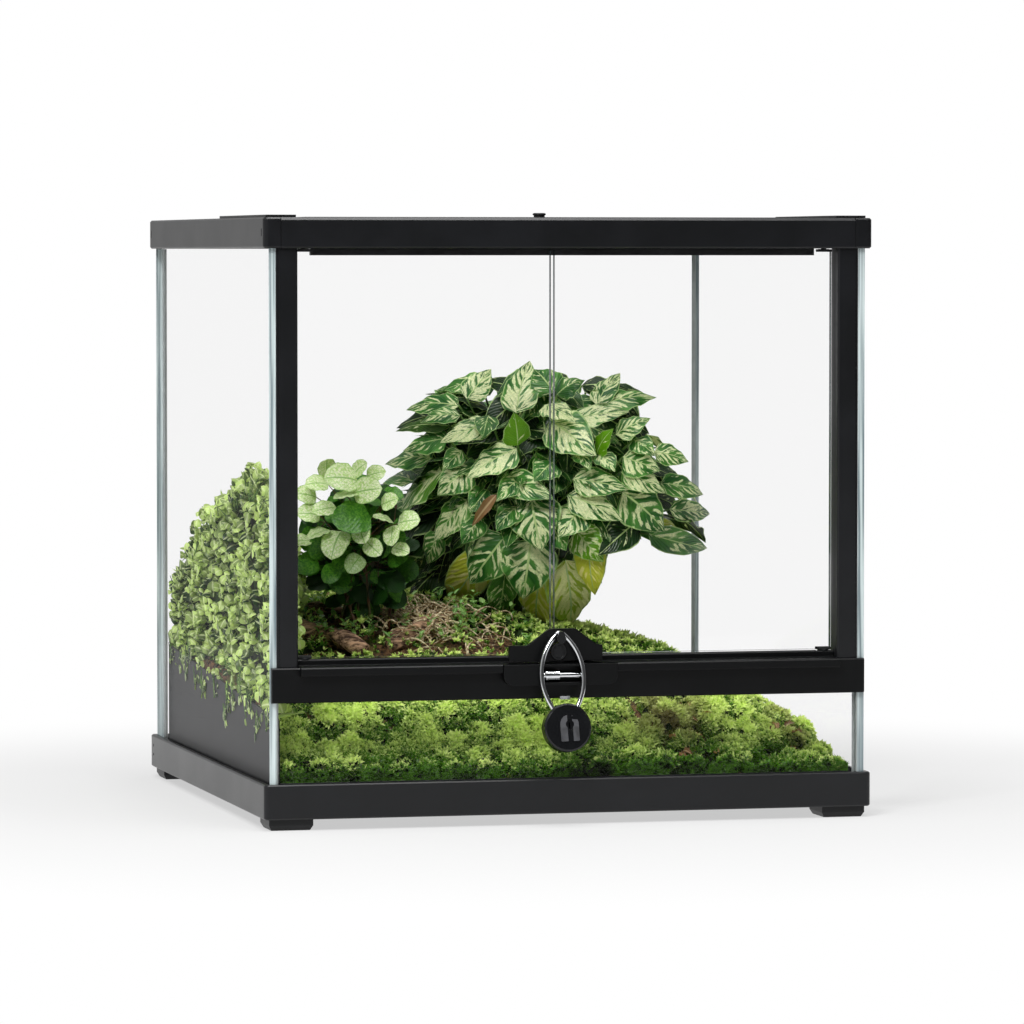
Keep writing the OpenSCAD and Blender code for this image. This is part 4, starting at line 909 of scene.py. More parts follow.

# %% [markdown]
# ## The broad-leaved plant
# This is the large plant in the middle: a dome of overlapping leaves on short stalks that rise
# from one crown. Its best side looks a little to the left of the front, so places on it are given
# in a plane turned 14 degrees: s to the right, h upwards, and depth worked out from the dome. The
# leaves on that side are laid one by one, because their order makes the plant what it is; the
# rest are spread evenly over the dome by a sunflower spiral, with a layer inside that closes the
# gaps and is painted darker, as shade.

# %% Places on a plant's dome
TURN = np.radians(13.9)
RIGHT = np.array([np.cos(TURN), -np.sin(TURN), 0.0])
AWAY = np.array([np.sin(TURN), np.cos(TURN), 0.0])
UP = np.array([0.0, 0.0, 1.0])
MIDDLE = np.array([0.0, 1000 * MIDDLE_Y, 0.0])  # the middle of the box, in millimetres


def on_dome(s, h, middle, size, share):
    """Points on the near half of a dome. middle is (x, y, z) and size is (across, deep, up, down),
    in millimetres; the depth is the dome's own at (s, h), times share."""
    s, h = np.asarray(s, float), np.asarray(h, float)
    tall = np.where(h > 0, size[2], size[3])
    depth = size[1] * share * np.sqrt(np.clip(1 - (s / size[0]) ** 2 - (h / tall) ** 2, 0, 1))
    place = s[..., None] * RIGHT - depth[..., None] * AWAY + h[..., None] * UP
    return (np.asarray(middle) + MIDDLE + place) * MM

# %% The leaves that are laid one by one
# each leaf: s and h of its foot, s and h of its tip, width, tone, cream and shade
BROAD = np.array([
    [-23, 32, -13, 70, 25, 0.1, 1.2], [-22, 8, -25, 33, 20, 0.6, 0.0],
    [-60, 42, -42, 64, 19, 0.1, 1.3], [-66, 37, -106, 33, 20, 0.1, 0.9],
    [-73, 22, -114, 17, 13, 0.3, 0.2], [-65, 30, -95, 24, 15, 0.1, 0.9],
    [-41, 24, -80, 10, 19, 0.1, 1.4], [-74, 13, -108, 3, 20, 0.1, 0.7],
    [-86, -2, -122, -8, 21, 0.2, 0.7], [-23, 6, -60, -16, 26, 0.1, 1.3],
    [-57, -9, -82, -29, 25, 0.1, 1.2], [-78, -12, -114, -47, 31, 0.4, 1.0],
    [-32, -16, 5, -31, 20, 0.0, 0.9], [-22, -37, -38, -56, 19, 0.1, 0.6],
    [-12, -31, -4, -70, 36, 0.1, 1.1], [25, -40, 8, -60, 24, 0.1, 1.1],
    [15, -29, 56, -48, 22, 0.1, 1.4], [19, -17, 60, -24, 21, 0.1, 1.1],
    [2, 27, 36, 1, 31, 0.1, 1.3], [18, 27, 61, 33, 18, 0.1, 1.4],
    [51, 16, 77, 28, 18, 0.1, 1.0], [37, 38, 55, 61, 17, 0.1, 1.2],
    [40, 38, 82, 43, 21, 0.0, 0.8], [5, 47, -10, 64, 24, 0.0, 0.5],
    [7, 45, 28, 56, 20, 0.0, 0.4], [37, 2, 49, 21, 15, 0.6, 0.0],
    [56, -1, 84, -11, 23, 0.0, 0.9], [80, 3, 106, -5, 16, 0.1, 1.0],
    [55, -12, 88, -28, 18, 0.1, 1.2], [85, -21, 118, -31, 17, 0.1, 0.8],
    [56, -27, 88, -57, 32, 0.1, 1.0], [92, -41, 124, -47, 15, 0.1, 1.0],
    [76, -59, 122, -73, 18, 0.0, 0.6], [66, -50, 38, -74, 23, 0.0, 0.2],
    [21, -55, 42, -79, 24, 0.5, 1.0], [-12, -62, -18, -108, 38, 0.1, 1.0],
    [-31, -59, -58, -97, 32, 0.0, 1.0], [-48, -74, -74, -114, 28, 0.85, 1.0],
    [-5, -90, -5, -132, 27, 0.95, 0.8], [13, -78, 16, -131, 32, 0.75, 1.2],
    [31, -64, 36, -105, 22, 1.0, 0.6], [-60, -33, -85, -65, 22, 0.3, 1.1],
    [-81, -59, -90, -83, 17, 0.0, 0.6], [-20, -16, -38, -33, 16, 0.1, 0.8],
    [-64, 4, -78, -10, 14, 0.0, 0.7], [39, 2, 50, -11, 15, 0.1, 1.0],
    [-2, 38, 20, 26, 18, 0.2, 1.5], [22, 2, 32, -10, 13, 0.1, 0.9],
    [-44, 30, -48, 14, 16, 0.0, 0.4], [64, 12, 80, 0, 16, 0.0, 0.9],
    [4, -4, -10, -18, 20, 0.0, 0.6], [-45, -25, -58, -42, 18, 0.0, 0.5],
    [-100, -20, -124, -26, 18, 0.2, 0.6], [-96, -36, -122, -46, 18, 0.3, 0.8],
    [-50, -45, -64, -66, 18, 0.1, 0.6], [2, -48, 14, -70, 20, 0.0, 0.5],
    [-32, -90, -38, -122, 20, 0.3, 0.7]])
DOME_MIDDLE = (43.0, 18.0, 259.0)
DOME_SIZE = (126.0, 112.0, 74.0, 134.0)
print("table of", len(BROAD), "leaves")

# %% The broad-leaved plant's outline
# s and h of its corners in the same plane, anticlockwise from the left shoulder
OUTLINE = np.array([
    [-113, 2], [-122, -10], [-120, -39], [-128, -80], [-117, -116], [-57, -128], [-20, -130],
    [0, -138], [21, -134], [37, -110], [44, -91], [46, -74], [90, -67], [122, -72], [124, -46],
    [118, -29], [96, -16], [105, -2], [79, 16], [84, 40], [69, 50], [39, 62], [18, 61],
    [-10, 71], [-35, 70], [-51, 64], [-72, 59], [-106, 36], [-114, 18]], float)


def within(s, h):
    """True where (s, h) lies inside the outline: a line from there to the right crosses the outline
    an odd number of times."""
    a, b = OUTLINE, np.roll(OUTLINE, -1, 0)
    s, h = np.asarray(s)[:, None], np.asarray(h)[:, None]
    crosses = (a[:, 1] > h) != (b[:, 1] > h)
    where = a[:, 0] + (b[:, 0] - a[:, 0]) * (h - a[:, 1]) / (b[:, 1] - a[:, 1] + 1e-9)
    return (crosses & (s < where)).sum(-1) % 2 == 1


def seen_within(points):
    """The same for points in space, looked at square to the plane."""
    from_heart = points / MM - np.array(DOME_MIDDLE) - MIDDLE
    return within(from_heart @ RIGHT, from_heart @ UP)

# %% The leaves that fill the dome
def fillers(rng, count, s_range, h_range, share):
    """Leaves between and behind those, which get little cream further down and so are painted
    darker, as shade: each points outwards and down from the plant's heart, from 8 mm before
    (s, h) to 26 to 40 mm past it. share sets how deep in the dome they lie."""
    s, h = rng.uniform(*s_range, count), rng.uniform(*h_range, count)
    way = unit(np.stack([s + rng.normal(0, 22, count),
                         0.7 * h - 34 + rng.normal(0, 16, count)], -1))
    long = rng.uniform(26, 40, count)
    foot = on_dome(s - 8 * way[:, 0], h - 8 * way[:, 1], DOME_MIDDLE, DOME_SIZE, share - 0.12)
    tip = on_dome(s + long * way[:, 0], h + long * way[:, 1], DOME_MIDDLE, DOME_SIZE, share + 0.04)
    keep = seen_within(foot) & seen_within(tip) & seen_within((foot + tip) / 2)
    return foot[keep], tip[keep]


def far_side(rng, count=420):
    """Leaves over the rest of the dome, by even directions: height z on the unit sphere, headings
    by the golden angle. Every second one lies deeper in the plant. A leaf points away from the
    heart and droops, the more so the lower it stands; near the top it stands up."""
    k = np.arange(count) + 0.5
    z = 0.98 - 1.5 * k / count
    heading = k * np.pi * (3 - np.sqrt(5))
    flat = np.sqrt(1 - z ** 2)
    out = np.stack([flat * np.cos(heading), flat * np.sin(heading), z], -1)
    inner = np.arange(count) % 2 == 0
    keep = (out @ -AWAY < 0.12) | inner
    out, inner, z = out[keep], inner[keep], z[keep]
    n = len(out)
    scale = np.where(inner, 0.62, 0.86)[:, None] * rng.uniform(0.92, 1.08, (n, 1))
    tall = np.where(z > 0, 66.0, 88.0)
    radii = np.stack([np.full(n, 112.0), np.full(n, 104.0), tall], -1) * MM
    start = (np.array(DOME_MIDDLE) + MIDDLE + [-8, 0, -20]) * MM + out * radii * scale
    sink = np.clip(0.45 - 0.9 * z, 0.05, 1.3)[:, None] + rng.normal(0, 0.18, (n, 1))
    stand = 0.9 * np.maximum(z - 0.75, 0)[:, None]
    way = unit(unit(out * [1, 1, 0.0]) + rng.normal(0, 0.3, (n, 3)) - sink * UP + stand * UP)
    end = start + way * rng.uniform(32, 48, (n, 1)) * MM
    keep = seen_within(end) & seen_within((start + end) / 2)
    return start[keep], end[keep], out[keep], inner[keep], z[keep]

# %% Place the broad leaves
rng = np.random.default_rng(41)
# the leaves that are laid one by one, the fillers in three layers, and the far side
s0, h0, s1, h1, wide, tone, cream_and_shade = BROAD.T
foot = on_dome(s0, h0, DOME_MIDDLE, DOME_SIZE, 0.8)
tip = on_dome(s1, h1, DOME_MIDDLE, DOME_SIZE, 1.0)
up_share = np.clip(0.62 + 0.006 * h1, 0.1, 0.75)[:, None]
facing = unit(-0.8 * AWAY + up_share * UP + rng.normal(0, 0.17, (len(s0), 3)))
near = fillers(rng, 190, (-104, 104), (-70, 56), 0.66)
deep = fillers(rng, 130, (-118, 40), (-128, -38), 0.45)
low = fillers(rng, 80, (-120, -16), (-118, -60), 0.0)
fill_foot, fill_tip = (np.concatenate(ends) for ends in zip(near, deep, low))
some, front = len(fill_foot), len(near[0])
start, end, out, inner, z = far_side(rng)
n = len(start)
foot, tip = np.concatenate([foot, fill_foot, start]), np.concatenate([tip, fill_tip, end])
facing = np.concatenate([facing,
                         unit(0.6 * (UP - AWAY) + rng.normal(0, 0.25, (some, 3))),
                         unit(0.55 * out + 0.8 * UP + rng.normal(0, 0.2, (n, 3)))])
print(len(wide), "broad leaves laid one by one,", some, "fillers,", n, "on the far side")

# %% Colour the broad leaves
# tone goes from green to yellow, and the number for cream and shade sets how much cream shows
# and, where it is low, paints the leaf dark as shade; plump is a leaf's width over its length,
# and one in the far side's lowest rows may be old
long = np.linalg.norm(tip - foot, axis=-1)
plump = np.concatenate([1.17 * wide * MM / long[:len(wide)],
                        rng.uniform(0.5, 0.66, some + n)])
old = (z < -0.2) & (rng.uniform(0, 1, n) < 0.4) & ~inner
tone = np.concatenate([tone, rng.uniform(0, 0.2, some),
                       np.where(old, 0.85, rng.uniform(0, 0.25, n))])
# painted shade: the fillers and the inner far-side leaves get little cream, which darkens them
cream_and_shade = np.concatenate([cream_and_shade, rng.uniform(0.0, 0.5, front),
                        rng.uniform(0.0, 0.4, some - front),
                        np.where(inner, 0.35, rng.uniform(0.5, 1.3, n))])
print("mean width", round(float((long * plump).mean()) / MM, 1), "mm,", int(old.sum()),
      "old leaves")

# %% Grow the broad leaves
# own picks the strokes that each leaf has
bow = rng.uniform(0.06, 0.16, len(foot))
points, faces, uv = leaves(foot, tip, facing, long * plump, bow, 12, 7, 0.44, 1.02, -0.14, 0.12)
blades = make_piece("broad_leaves", points, faces, FEATHERED, slot="broad_leaves", uv=uv,
                    values={"tone": per_leaf(tone, points), "cream_and_shade": per_leaf(cream_and_shade, points),
                            "own": per_leaf(rng.uniform(0, 1, len(foot)), points)})
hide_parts("broadleaf_plant")

# %% Grow the broad leaves' stalks and stems
# thin stalks from the crown, and seven thick stems from the moss up to it
crown = (MIDDLE + [34, 22, 170] + rng.normal(0, 7, (len(foot), 3))) * MM
paths = curve_through(crown, (crown + foot) / 2 + 14 * MM * UP, foot, 7)
make_piece("broad_leaf_stalks", *tubes(paths, np.linspace(1.4, 0.8, 7) * MM, 6), GREEN_STALK,
           slot="broad_leaves")
k = np.arange(7)
foot = at((30 + 12 * np.cos(k)) * MM, (20 + 12 * np.sin(k)) * MM, 0.118)
head = at((34 + 20 * np.cos(k)) * MM, (20 + 20 * np.sin(k)) * MM, 0.185)
stems = curve_through(foot, (foot + head) / 2 + rng.normal(0, 5, (7, 3)) * MM, head, 8)
make_piece("broad_leaf_stems", *tubes(stems, 3.0 * MM, 8), GREEN_STALK, slot="broad_leaves")

# %% Hang one withered leaf among the green ones
foot = on_dome([-38], [-28], DOME_MIDDLE, DOME_SIZE, 0.95)
tip = on_dome([-56], [-52], DOME_MIDDLE, DOME_SIZE, 1.02)
points, faces, uv = leaves(foot, tip, unit(-AWAY + 0.3 * UP)[None], np.array([8 * MM]),
                           np.array([0.1]), 12, 7, trough=0.5, wave=0.5)
make_piece("withered_leaf", points, faces, DRY, slot="bark", uv=uv,
           values={"tone": per_leaf([0.5], points)})

# %% [markdown]
# ## The round-leaved plant
# In front, on the left, a smaller plant holds round, pale, mottled leaves on thin red-brown
# stems. Again the leaves that show are laid one by one, in the same turned plane, and more of
# them, deeper green and painted darker still as shade, fill the plant behind. Scattering all of
# them would be less work, but then the plant would have no best side.

# %% The round leaves that are laid one by one
# each leaf: s and h of its middle, its size, its heading in degrees, tone
ROUND = np.array([
    [-12, 32, 26, 170, 0.2], [8, 24, 23, 20, 0.2], [-8, 20, 20, 200, 0.3],
    [19, 3, 17, 150, 0.1], [38, 1, 18, 20, 0.1], [26, -9, 18, 270, 0.1], [-4, 3, 30, 190, 0.7],
    [-15, -16, 26, 260, 0.3], [-38, -32, 20, 210, 0.8], [-22, 40, 17, 90, 0.4],
    [2, 40, 16, 60, 0.4], [-30, 28, 18, 180, 0.4], [-24, 10, 19, 200, 0.5],
    [-36, 6, 18, 170, 0.3], [12, -18, 17, 300, 0.4], [-2, -30, 18, 250, 0.6],
    [-28, -8, 18, 220, 0.5], [24, 16, 15, 40, 0.3], [-42, -14, 17, 190, 0.5],
    [14, 36, 16, 30, 0.5], [4, -8, 16, 280, 0.4], [-20, -38, 17, 250, 0.8],
    [-38, 20, 17, 160, 0.4], [32, -20, 14, 330, 0.5]])
SPRIG_MIDDLE = (-121.0, -62.0, 212.0)
SPRIG_SIZE = (52.0, 44.0, 52.0, 60.0)
print("table of", len(ROUND), "leaves")

# %% Place the round leaves
# to the leaves of the table come ones behind them, inside the same dome, painted darker as shade
rng = np.random.default_rng(43)
s, h, size, heading, tone = ROUND.T
way = np.radians(heading)[:, None]
lean = unit(np.cos(way) * RIGHT + 0.5 * np.sin(way) * UP - 0.35 * AWAY)
middle = on_dome(s, h, SPRIG_MIDDLE, SPRIG_SIZE, 0.95)
count = 240
spread = rng.normal(0, 1, (count, 3))
spread = unit(spread) * rng.uniform(0.35, 1.0, (count, 1)) - 0.4 * UP
heart = np.array(SPRIG_MIDDLE) + MIDDLE
inside = (heart + spread * [44, 40, 50]) * MM
keep = (spread @ -AWAY) < 0.55
inside, spread = inside[keep], spread[keep]
n = len(inside)
middle = np.concatenate([middle, inside])
lean = np.concatenate([lean, unit(spread * [1, 1, 0.2] + rng.normal(0, 0.3, (n, 3)))])
size = np.concatenate([size, rng.uniform(13, 22, n)]) * MM
# painted shade: the leaves behind get a high tone, which darkens them
tone = np.concatenate([tone, rng.uniform(0.75, 1.1, n)])
# plain leaves face the viewer, the others look up
upward = np.where((tone > 0.55) & (tone < 0.75), 0.2, 0.72)[:, None]
facing = unit(upward * UP - 0.7 * AWAY + rng.normal(0, 0.28, (len(middle), 3)))
half = 0.5 * size[:, None] * lean
foot, tip = middle - half, middle + half
print(len(ROUND), "round leaves laid one by one,", n, "behind them")

# %% Grow the round leaves
points, faces, uv = leaves(foot, tip, facing, size * rng.uniform(0.8, 0.98, len(size)),
                           rng.uniform(0.04, 0.14, len(size)), 11, 9, 0.42, 0.52, 0.1, 0.07)
blades = make_piece("round_leaves", points, faces, MOTTLED, slot="variegated_leaves", uv=uv,
                    values={"tone": per_leaf(tone, points)})
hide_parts("round_leaf_plant")

# %% Grow the round leaves' stems
# a few main stems, and a twig from one of them to every leaf
main = 9
x, y = rng.normal(-121, 20, main) * MM, rng.normal(-58, 14, main) * MM
root = at(x, y, ground(x, y) - 1 * MM)
head = (heart + rng.normal(0, 1, (main, 3)) * [22, 14, 20]) * MM
paths = curve_through(root, (root + head) / 2 + rng.normal(0, 7, head.shape) * MM, head, 12)
owner = rng.integers(0, main, len(foot))
start = paths[owner, rng.integers(6, 12, len(foot))]
twigs = curve_through(start, (start + foot) / 2 + 6 * MM * UP, foot, 12)
every = np.concatenate([paths, twigs])
thick = np.where(np.arange(len(every)) < main, 1.2, 0.5)[:, None] * np.linspace(1.0, 0.7, 12)
make_piece("round_leaf_stems", *tubes(every, thick * MM, 6), RED_STALK,
           slot="variegated_leaves")

# %% [markdown]
# ## The trailing plant
# On the left wall hangs a thick cushion of small leaves. It lies against the pane from the ground
# up, and rounds over to the bed behind. Leaves are set in pairs along short sprigs, on two
# surfaces: the flat face against the glass, inside the arch, and the rounded top. A core behind
# them, painted dark as the shade inside the cushion, closes the gaps; the leaves are painted
# darker, as shade, the deeper they stand; and their lower edge hangs in loose strands over the
# liner. Whole vines could be grown along curves; the plant is so dense that only its skin is
# seen, so the sprigs are set on the skin.

# %% Sprigs for the trailing plant
PAIR_GAP = 4.5 * MM  # between the pairs of leaves on a sprig


def hang_edge(y):
    """Height of the cushion's lower edge on the left pane: it hangs lower towards the front, and
    two sines of different lengths make it uneven."""
    y = y / MM
    return (70 + 0.055 * (y + 212) + 7 * np.sin(y / 16) + 5 * np.sin(y / 6.3 + 1)) * MM


def sprigs(root, way, rng, pairs=2):
    """Leaf feet and tips in pairs up a short sprig: pair k sits at root + k PAIR_GAP way, turned by
    a quarter from the last. All the blades turn up to the light, which falls in from the front."""
    n = len(root)
    k = np.arange(pairs)[None, :, None]
    joint = root[:, None] + k * PAIR_GAP * way[:, None] + rng.normal(0, 0.8, (n, pairs, 3)) * MM
    helper = unit(np.cross(way, rng.normal(0, 1, (n, 3))))
    other = np.cross(way, helper)
    out = np.where(k % 2 == 0, helper[:, None], other[:, None])
    out = np.stack([out, -out], 2)
    size = rng.uniform(6.2, 10, (n, pairs, 2, 1)) * MM
    foot = np.broadcast_to(joint[:, :, None], out.shape)
    tip = foot + size * unit(out + 0.3 * way[:, None, None] + rng.normal(0, 0.2, out.shape))
    light = unit(np.array([-0.3, -0.6, 0.8]) + rng.normal(0, 0.28, out.shape))
    return foot.reshape(-1, 3), tip.reshape(-1, 3), light.reshape(-1, 3), size.reshape(-1)


def behind_glass(points):
    """Keeps the leaves inside the pane, and outside the liner wherever they hang over it."""
    x, y, z = points[..., 0], points[..., 1] - MIDDLE_Y, points[..., 2]
    liner_top = (91 + 26 * y / (425 * MM)) * MM
    x = np.where(z < liner_top + 1 * MM, np.minimum(x, -BED_X - 0.3 * MM), x)
    points[..., 0] = np.maximum(x, -BED_X - 2.4 * MM)
    points[..., 1] = np.clip(y, -BED_Y, BED_Y) + MIDDLE_Y
    return points

# %% Place the sprigs
rng = np.random.default_rng(47)
wall, over, strands = 560, 620, 45
# against the pane
y = rng.uniform(-208, 209, wall) * MM
top, low = bush(np.full(wall, -0.2125), y), hang_edge(y)
z = low + (top - 1 * MM - low) * rng.uniform(0, 1, wall)
depth = rng.uniform(0.5, 11, wall)
wall_root = at((-212 + depth) * MM, y, z)
wall_way = np.stack([rng.normal(-0.3, 0.3, wall), rng.normal(-0.5, 0.4, wall),
                     rng.normal(0.7, 0.35, wall)], -1)
# over the top
y = rng.uniform(-200, 205, over) * MM
reach = 15 + 42 * eased((y / MM + 150) / 150)
x = (-212 + reach * np.sin(rng.uniform(0, 0.48 * np.pi, over))) * MM
rise = np.where(rng.uniform(0, 1, over) < 0.15, rng.uniform(4, 9, over),
                rng.uniform(-8, 3, over))
over_root = at(x, y, bush(x, y) + rise * MM)
over_way = ground_slope(x, y, bush) + rng.normal(0, 0.35, (over, 3))
# hanging over the liner
y = rng.uniform(-208, 209, strands) * MM
strand_root = at(-0.2141, y, hang_edge(y) - rng.uniform(-10, 3, strands) * MM)
strand_way = [0, -0.35, -0.8] + rng.normal(0, 0.4, (strands, 3))
root = np.concatenate([wall_root, over_root, strand_root])
way = unit(np.concatenate([wall_way, over_way, strand_way]))
print(wall, "sprigs against the pane,", over, "over the top,", strands, "hanging")

# %% Grow the trailing plant
foot, tip, facing, size = sprigs(root, way, rng)
points, faces, uv = leaves(foot, tip, facing, size * rng.uniform(0.78, 1.0, len(size)),
                           rng.uniform(0.06, 0.2, len(size)), 6, 5, 0.45, 0.6, -0.22, 0.05)
# painted shade: a sprig is darker the deeper it stands, and its four leaves get lighter in turn
shade = np.concatenate([0.7 - 0.07 * depth, np.full(over, 0.45), np.full(strands, 0.3)])
shade = np.repeat(shade + rng.normal(0, 0.2, len(root)), 4)
tone = np.clip(1.3 * (shade + np.tile([-0.15, -0.05, 0.1, 0.3], len(root))) - 0.16, 0, 1)
blades = make_piece("trailing_leaves", behind_glass(points), faces, TRAILING,
                    slot="trailing_leaves", uv=uv, values={"tone": per_leaf(tone, points)})
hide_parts("trailing_plant")
tops = behind_glass(root + way * 6 * MM)
paths = curve_through(behind_glass(root - way * 9 * MM), behind_glass(root.copy()), tops, 4)
make_piece("trailing_stems", *tubes(paths, 0.4 * MM, 4), GREEN_STALK, slot="trailing_leaves")

# %% Fill the trailing plant
# the core, a little under the leaves, painted dark as the shade inside the cushion
SHADE_CORE = leafy("trailing_core", "#0f1908", "#1c2c10", "#334d1c", 0.9, 0.0)
core_x, core_y = np.meshgrid(np.linspace(0, 1, 30), np.linspace(-0.168, 0.2105, 110))
core_x = (-204 + (4 + 40 * eased((core_y / MM + 145) / 150)) * core_x) * MM
core_top = bush(core_x, core_y) - 8 * MM + 2.5 * MM * ripple(core_x, core_y, 12 * MM, 21)
core_top = np.minimum(core_top, ground(core_x, core_y) + 150 * MM * eased((core_y / MM + 172) / 60))
core_low = np.minimum(ground(core_x, core_y) - 6 * MM, core_top - 1 * MM)
core_tone = 0.5 + 0.5 * ripple(core_x, core_y, 9 * MM, 22).ravel()
make_piece("trailing_core", *solid_between(core_x, core_y, core_top, core_low), SHADE_CORE,
           slot="trailing_leaves", values={"tone": np.tile(core_tone, 2)})

# %% [markdown]
# ## Driftwood, roots and sprouts
# Between the plants lie pieces of old wood, thin pale roots and a few seedlings. A piece of wood
# is a tube along a bent path whose radius swells and shrinks, and whose skin is furrowed along
# its length. A Displace modifier on a cylinder would give much the same lumps; here they are
# worked into the rings, and nothing is left to evaluate.

# %% Lay the wood
def old_wood(name, dark, pale, furrow=3 * MM):
    """Weathered bark: long dark furrows in a paler skin, matt. The noise is stretched along x."""
    material, tree = blank(name)
    where = add(tree, "TexCoord", {}, "Object")
    where = add(tree, "Mapping", {"Vector": where, "Scale": (0.25, 1, 1)})
    grooves = add(tree, "TexNoise", {"Vector": where, "Scale": 1 / furrow, "Detail": 5.0,
                                     "Roughness": 0.65})
    share = add(tree, "MapRange", {0: grooves, 1: 0.38, 2: 0.66}, **EASED)
    tint = add(tree, "Mix", {0: share, 6: linear(dark), 7: linear(pale)}, 2, **COLOUR)
    bump = add(tree, "Bump", {"Height": grooves, "Distance": 1.2 * MM})
    skin = add(tree, "BsdfPrincipled", {"Base Color": tint, "Roughness": 0.85, "Normal": bump})
    add(tree, "OutputMaterial", {0: skin})
    return material


def wood(paths, radii, sides, seed, knots=0.28):
    """Tubes whose radius is multiplied by 1 + knots * smooth noise along and around."""
    points, faces = tubes(paths, radii, sides)
    middle = np.asarray(paths)[:, :, None]
    x, y, z = points[..., 0], points[..., 1], points[..., 2]
    lump = 1 + knots * ripple(x + z, y - 0.6 * z, 11 * MM, seed)
    return middle + (points - middle) * lump[..., None], faces


WOOD = old_wood("weathered_driftwood", "#3a2416", "#cfa684")
ROOT = old_wood("dry_root", "#86683e", "#f4e6c0", 2 * MM)
logs = np.array([[[-176, -56, 135], [-150, -82, 131], [-124, -104, 119]],
                 [[-152, -22, 145], [-138, -30, 147], [-122, -32, 142]],
                 [[-104, -84, 118], [-78, -62, 131], [-50, -50, 136]]], float) * MM
logs[..., 1] += MIDDLE_Y
paths = curve_through(logs[:, 0], logs[:, 1], logs[:, 2], 24)
thick = np.array([7.2, 5.0, 8.0])[:, None] * MM * (1 - 0.45 * np.abs(np.linspace(-1, 1, 24)) ** 5)
timber = make_piece("driftwood_logs", *wood(paths, thick, 14, 51), WOOD, slot="bark")
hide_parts("driftwood")

# %% Lay the roots
def litter(count, rng):
    """Fine dry roots that wander over the hump of soil beside the middle plant."""
    x = rng.normal(-68, 22, count) * MM
    y = rng.normal(-56, 17, count) * MM
    angle = rng.normal(0.4, 1.3, count)
    long = rng.uniform(10, 30, count) * MM
    far_x, far_y = x + np.cos(angle) * long, y + np.sin(angle) * long
    start = at(x, y, ground(x, y) + rng.uniform(-2, 5, count) * MM)
    end = at(far_x, far_y, ground(far_x, far_y) + rng.uniform(-4, 8, count) * MM)
    bend = (start + end) / 2 + rng.normal(0, 5, (count, 3)) * MM + 8 * MM * UP
    return curve_through(start, bend, end, 10)


roots = litter(210, np.random.default_rng(52))
make_piece("dry_roots", *wood(roots, np.linspace(0.8, 0.35, 10) * MM, 6, 53), ROOT, slot="bark")

# %% Grow the seedlings
def sprouts(count, x_range, y_range, per, gap, rng):
    """Seedlings on the open soil: per leaves up each stem, gap apart."""
    x = rng.uniform(*x_range, count) * MM
    y = rng.uniform(*y_range, count) * MM
    owner = np.repeat(np.arange(count), per)
    x, y, n = x[owner], y[owner], len(owner)
    step = np.tile(np.arange(per), count)
    foot = at(x, y, ground(x, y) + (step * gap + 2) * MM)
    heading = step * 2.4 + owner
    way = unit(np.stack([np.cos(heading), np.sin(heading), rng.uniform(0.1, 0.8, n)], -1))
    size = rng.uniform(4.5, 9, n) * MM
    points, faces, uv = leaves(foot, foot + way * size[:, None], np.broadcast_to(UP, (n, 3)),
                               size * rng.uniform(0.42, 0.6, n), rng.uniform(0.05, 0.2, n), 7, 5)
    return points, faces, uv, rng.uniform(0, 1, n)


for name, *plan in (("seedlings", 44, (-165, 10), (-100, -15), 6, 2.2),
                    ("tall_seedlings", 5, (-52, -22), (-92, -66), 11, 2.9)):
    points, faces, uv, tone = sprouts(*plan, np.random.default_rng(54))
    make_piece(name, points, faces, SPROUT, slot="trailing_leaves", uv=uv,
               values={"tone": per_leaf(tone, points)})

# %% Drop the dead leaves
def dead_leaves(rng):
    """Small curled brown leaves that lie in the moss, in two drifts."""
    n = 26
    x = np.where(np.arange(n) < 18, rng.normal(92, 13, n), rng.normal(176, 7, n)) * MM
    y = rng.normal(-172, 12, n) * MM
    foot = at(x, y, mossy_top(x, y) + rng.uniform(0, 3, n) * MM)
    heading = rng.uniform(0, 2 * np.pi, n)
    way = unit(np.stack([np.cos(heading), np.sin(heading), rng.uniform(-0.2, 0.5, n)], -1))
    size = rng.uniform(6, 11, n) * MM
    facing = unit(UP - 0.5 * AWAY + rng.normal(0, 0.3, (n, 3)))
    points, faces, uv = leaves(foot, foot + way * size[:, None], facing, size * 0.5,
                               rng.uniform(0.1, 0.3, n), 9, 5, trough=0.5, wave=0.4)
    make_piece("dead_leaves", points, faces, DRY, slot="bark", uv=uv,
               values={"tone": per_leaf(rng.uniform(0, 1, n), points)})


dead_leaves(np.random.default_rng(55))

# %% [markdown]
# ## The woven screen
# The lid is filled with a metal cloth: wires in two directions that pass over and under one
# another. Each wire is a tube of four sides whose height follows a cosine with two crossings to a
# wave, and neighbours are half a wave apart. Warp and weft are two pieces. Real cloth of this
# kind has a wire every 2 mm or so; here it is 4 mm, which still reads as a mesh and stays light.
# A flat sheet with holes in its material would pass from afar, but it has no thickness from the
# side and no weave close up.

# %% Weave the screen
PITCH, HALF_WAVE, WIRE_R = 4 * MM, 0.3 * MM, 0.33 * MM


def woven_wires(low, high, across_low, across_high, level, turn):
    """Wires that run from low to high, PITCH apart from across_low to across_high. The height of
    wire k at s is level + HALF_WAVE cos(pi (s / PITCH + k)), and one k further with turn, with
    which x and y change places too."""
    count = int(round((across_high - across_low) / PITCH)) - 1
    place = across_low + PITCH * (1 + np.arange(count))
    steps = int(round((high - low) / PITCH)) + 1
    s = np.linspace(low, high, steps)
    crossing = np.arange(steps)[None] + np.arange(count)[:, None] + int(turn)
    height = level + HALF_WAVE * np.cos(np.pi * crossing)
    s, across = np.broadcast_arrays(s[None], place[:, None])
    paths = np.stack([across, s, height] if turn else [s, across, height], -1)
    return tubes(paths, WIRE_R, 4, np.pi / 4)


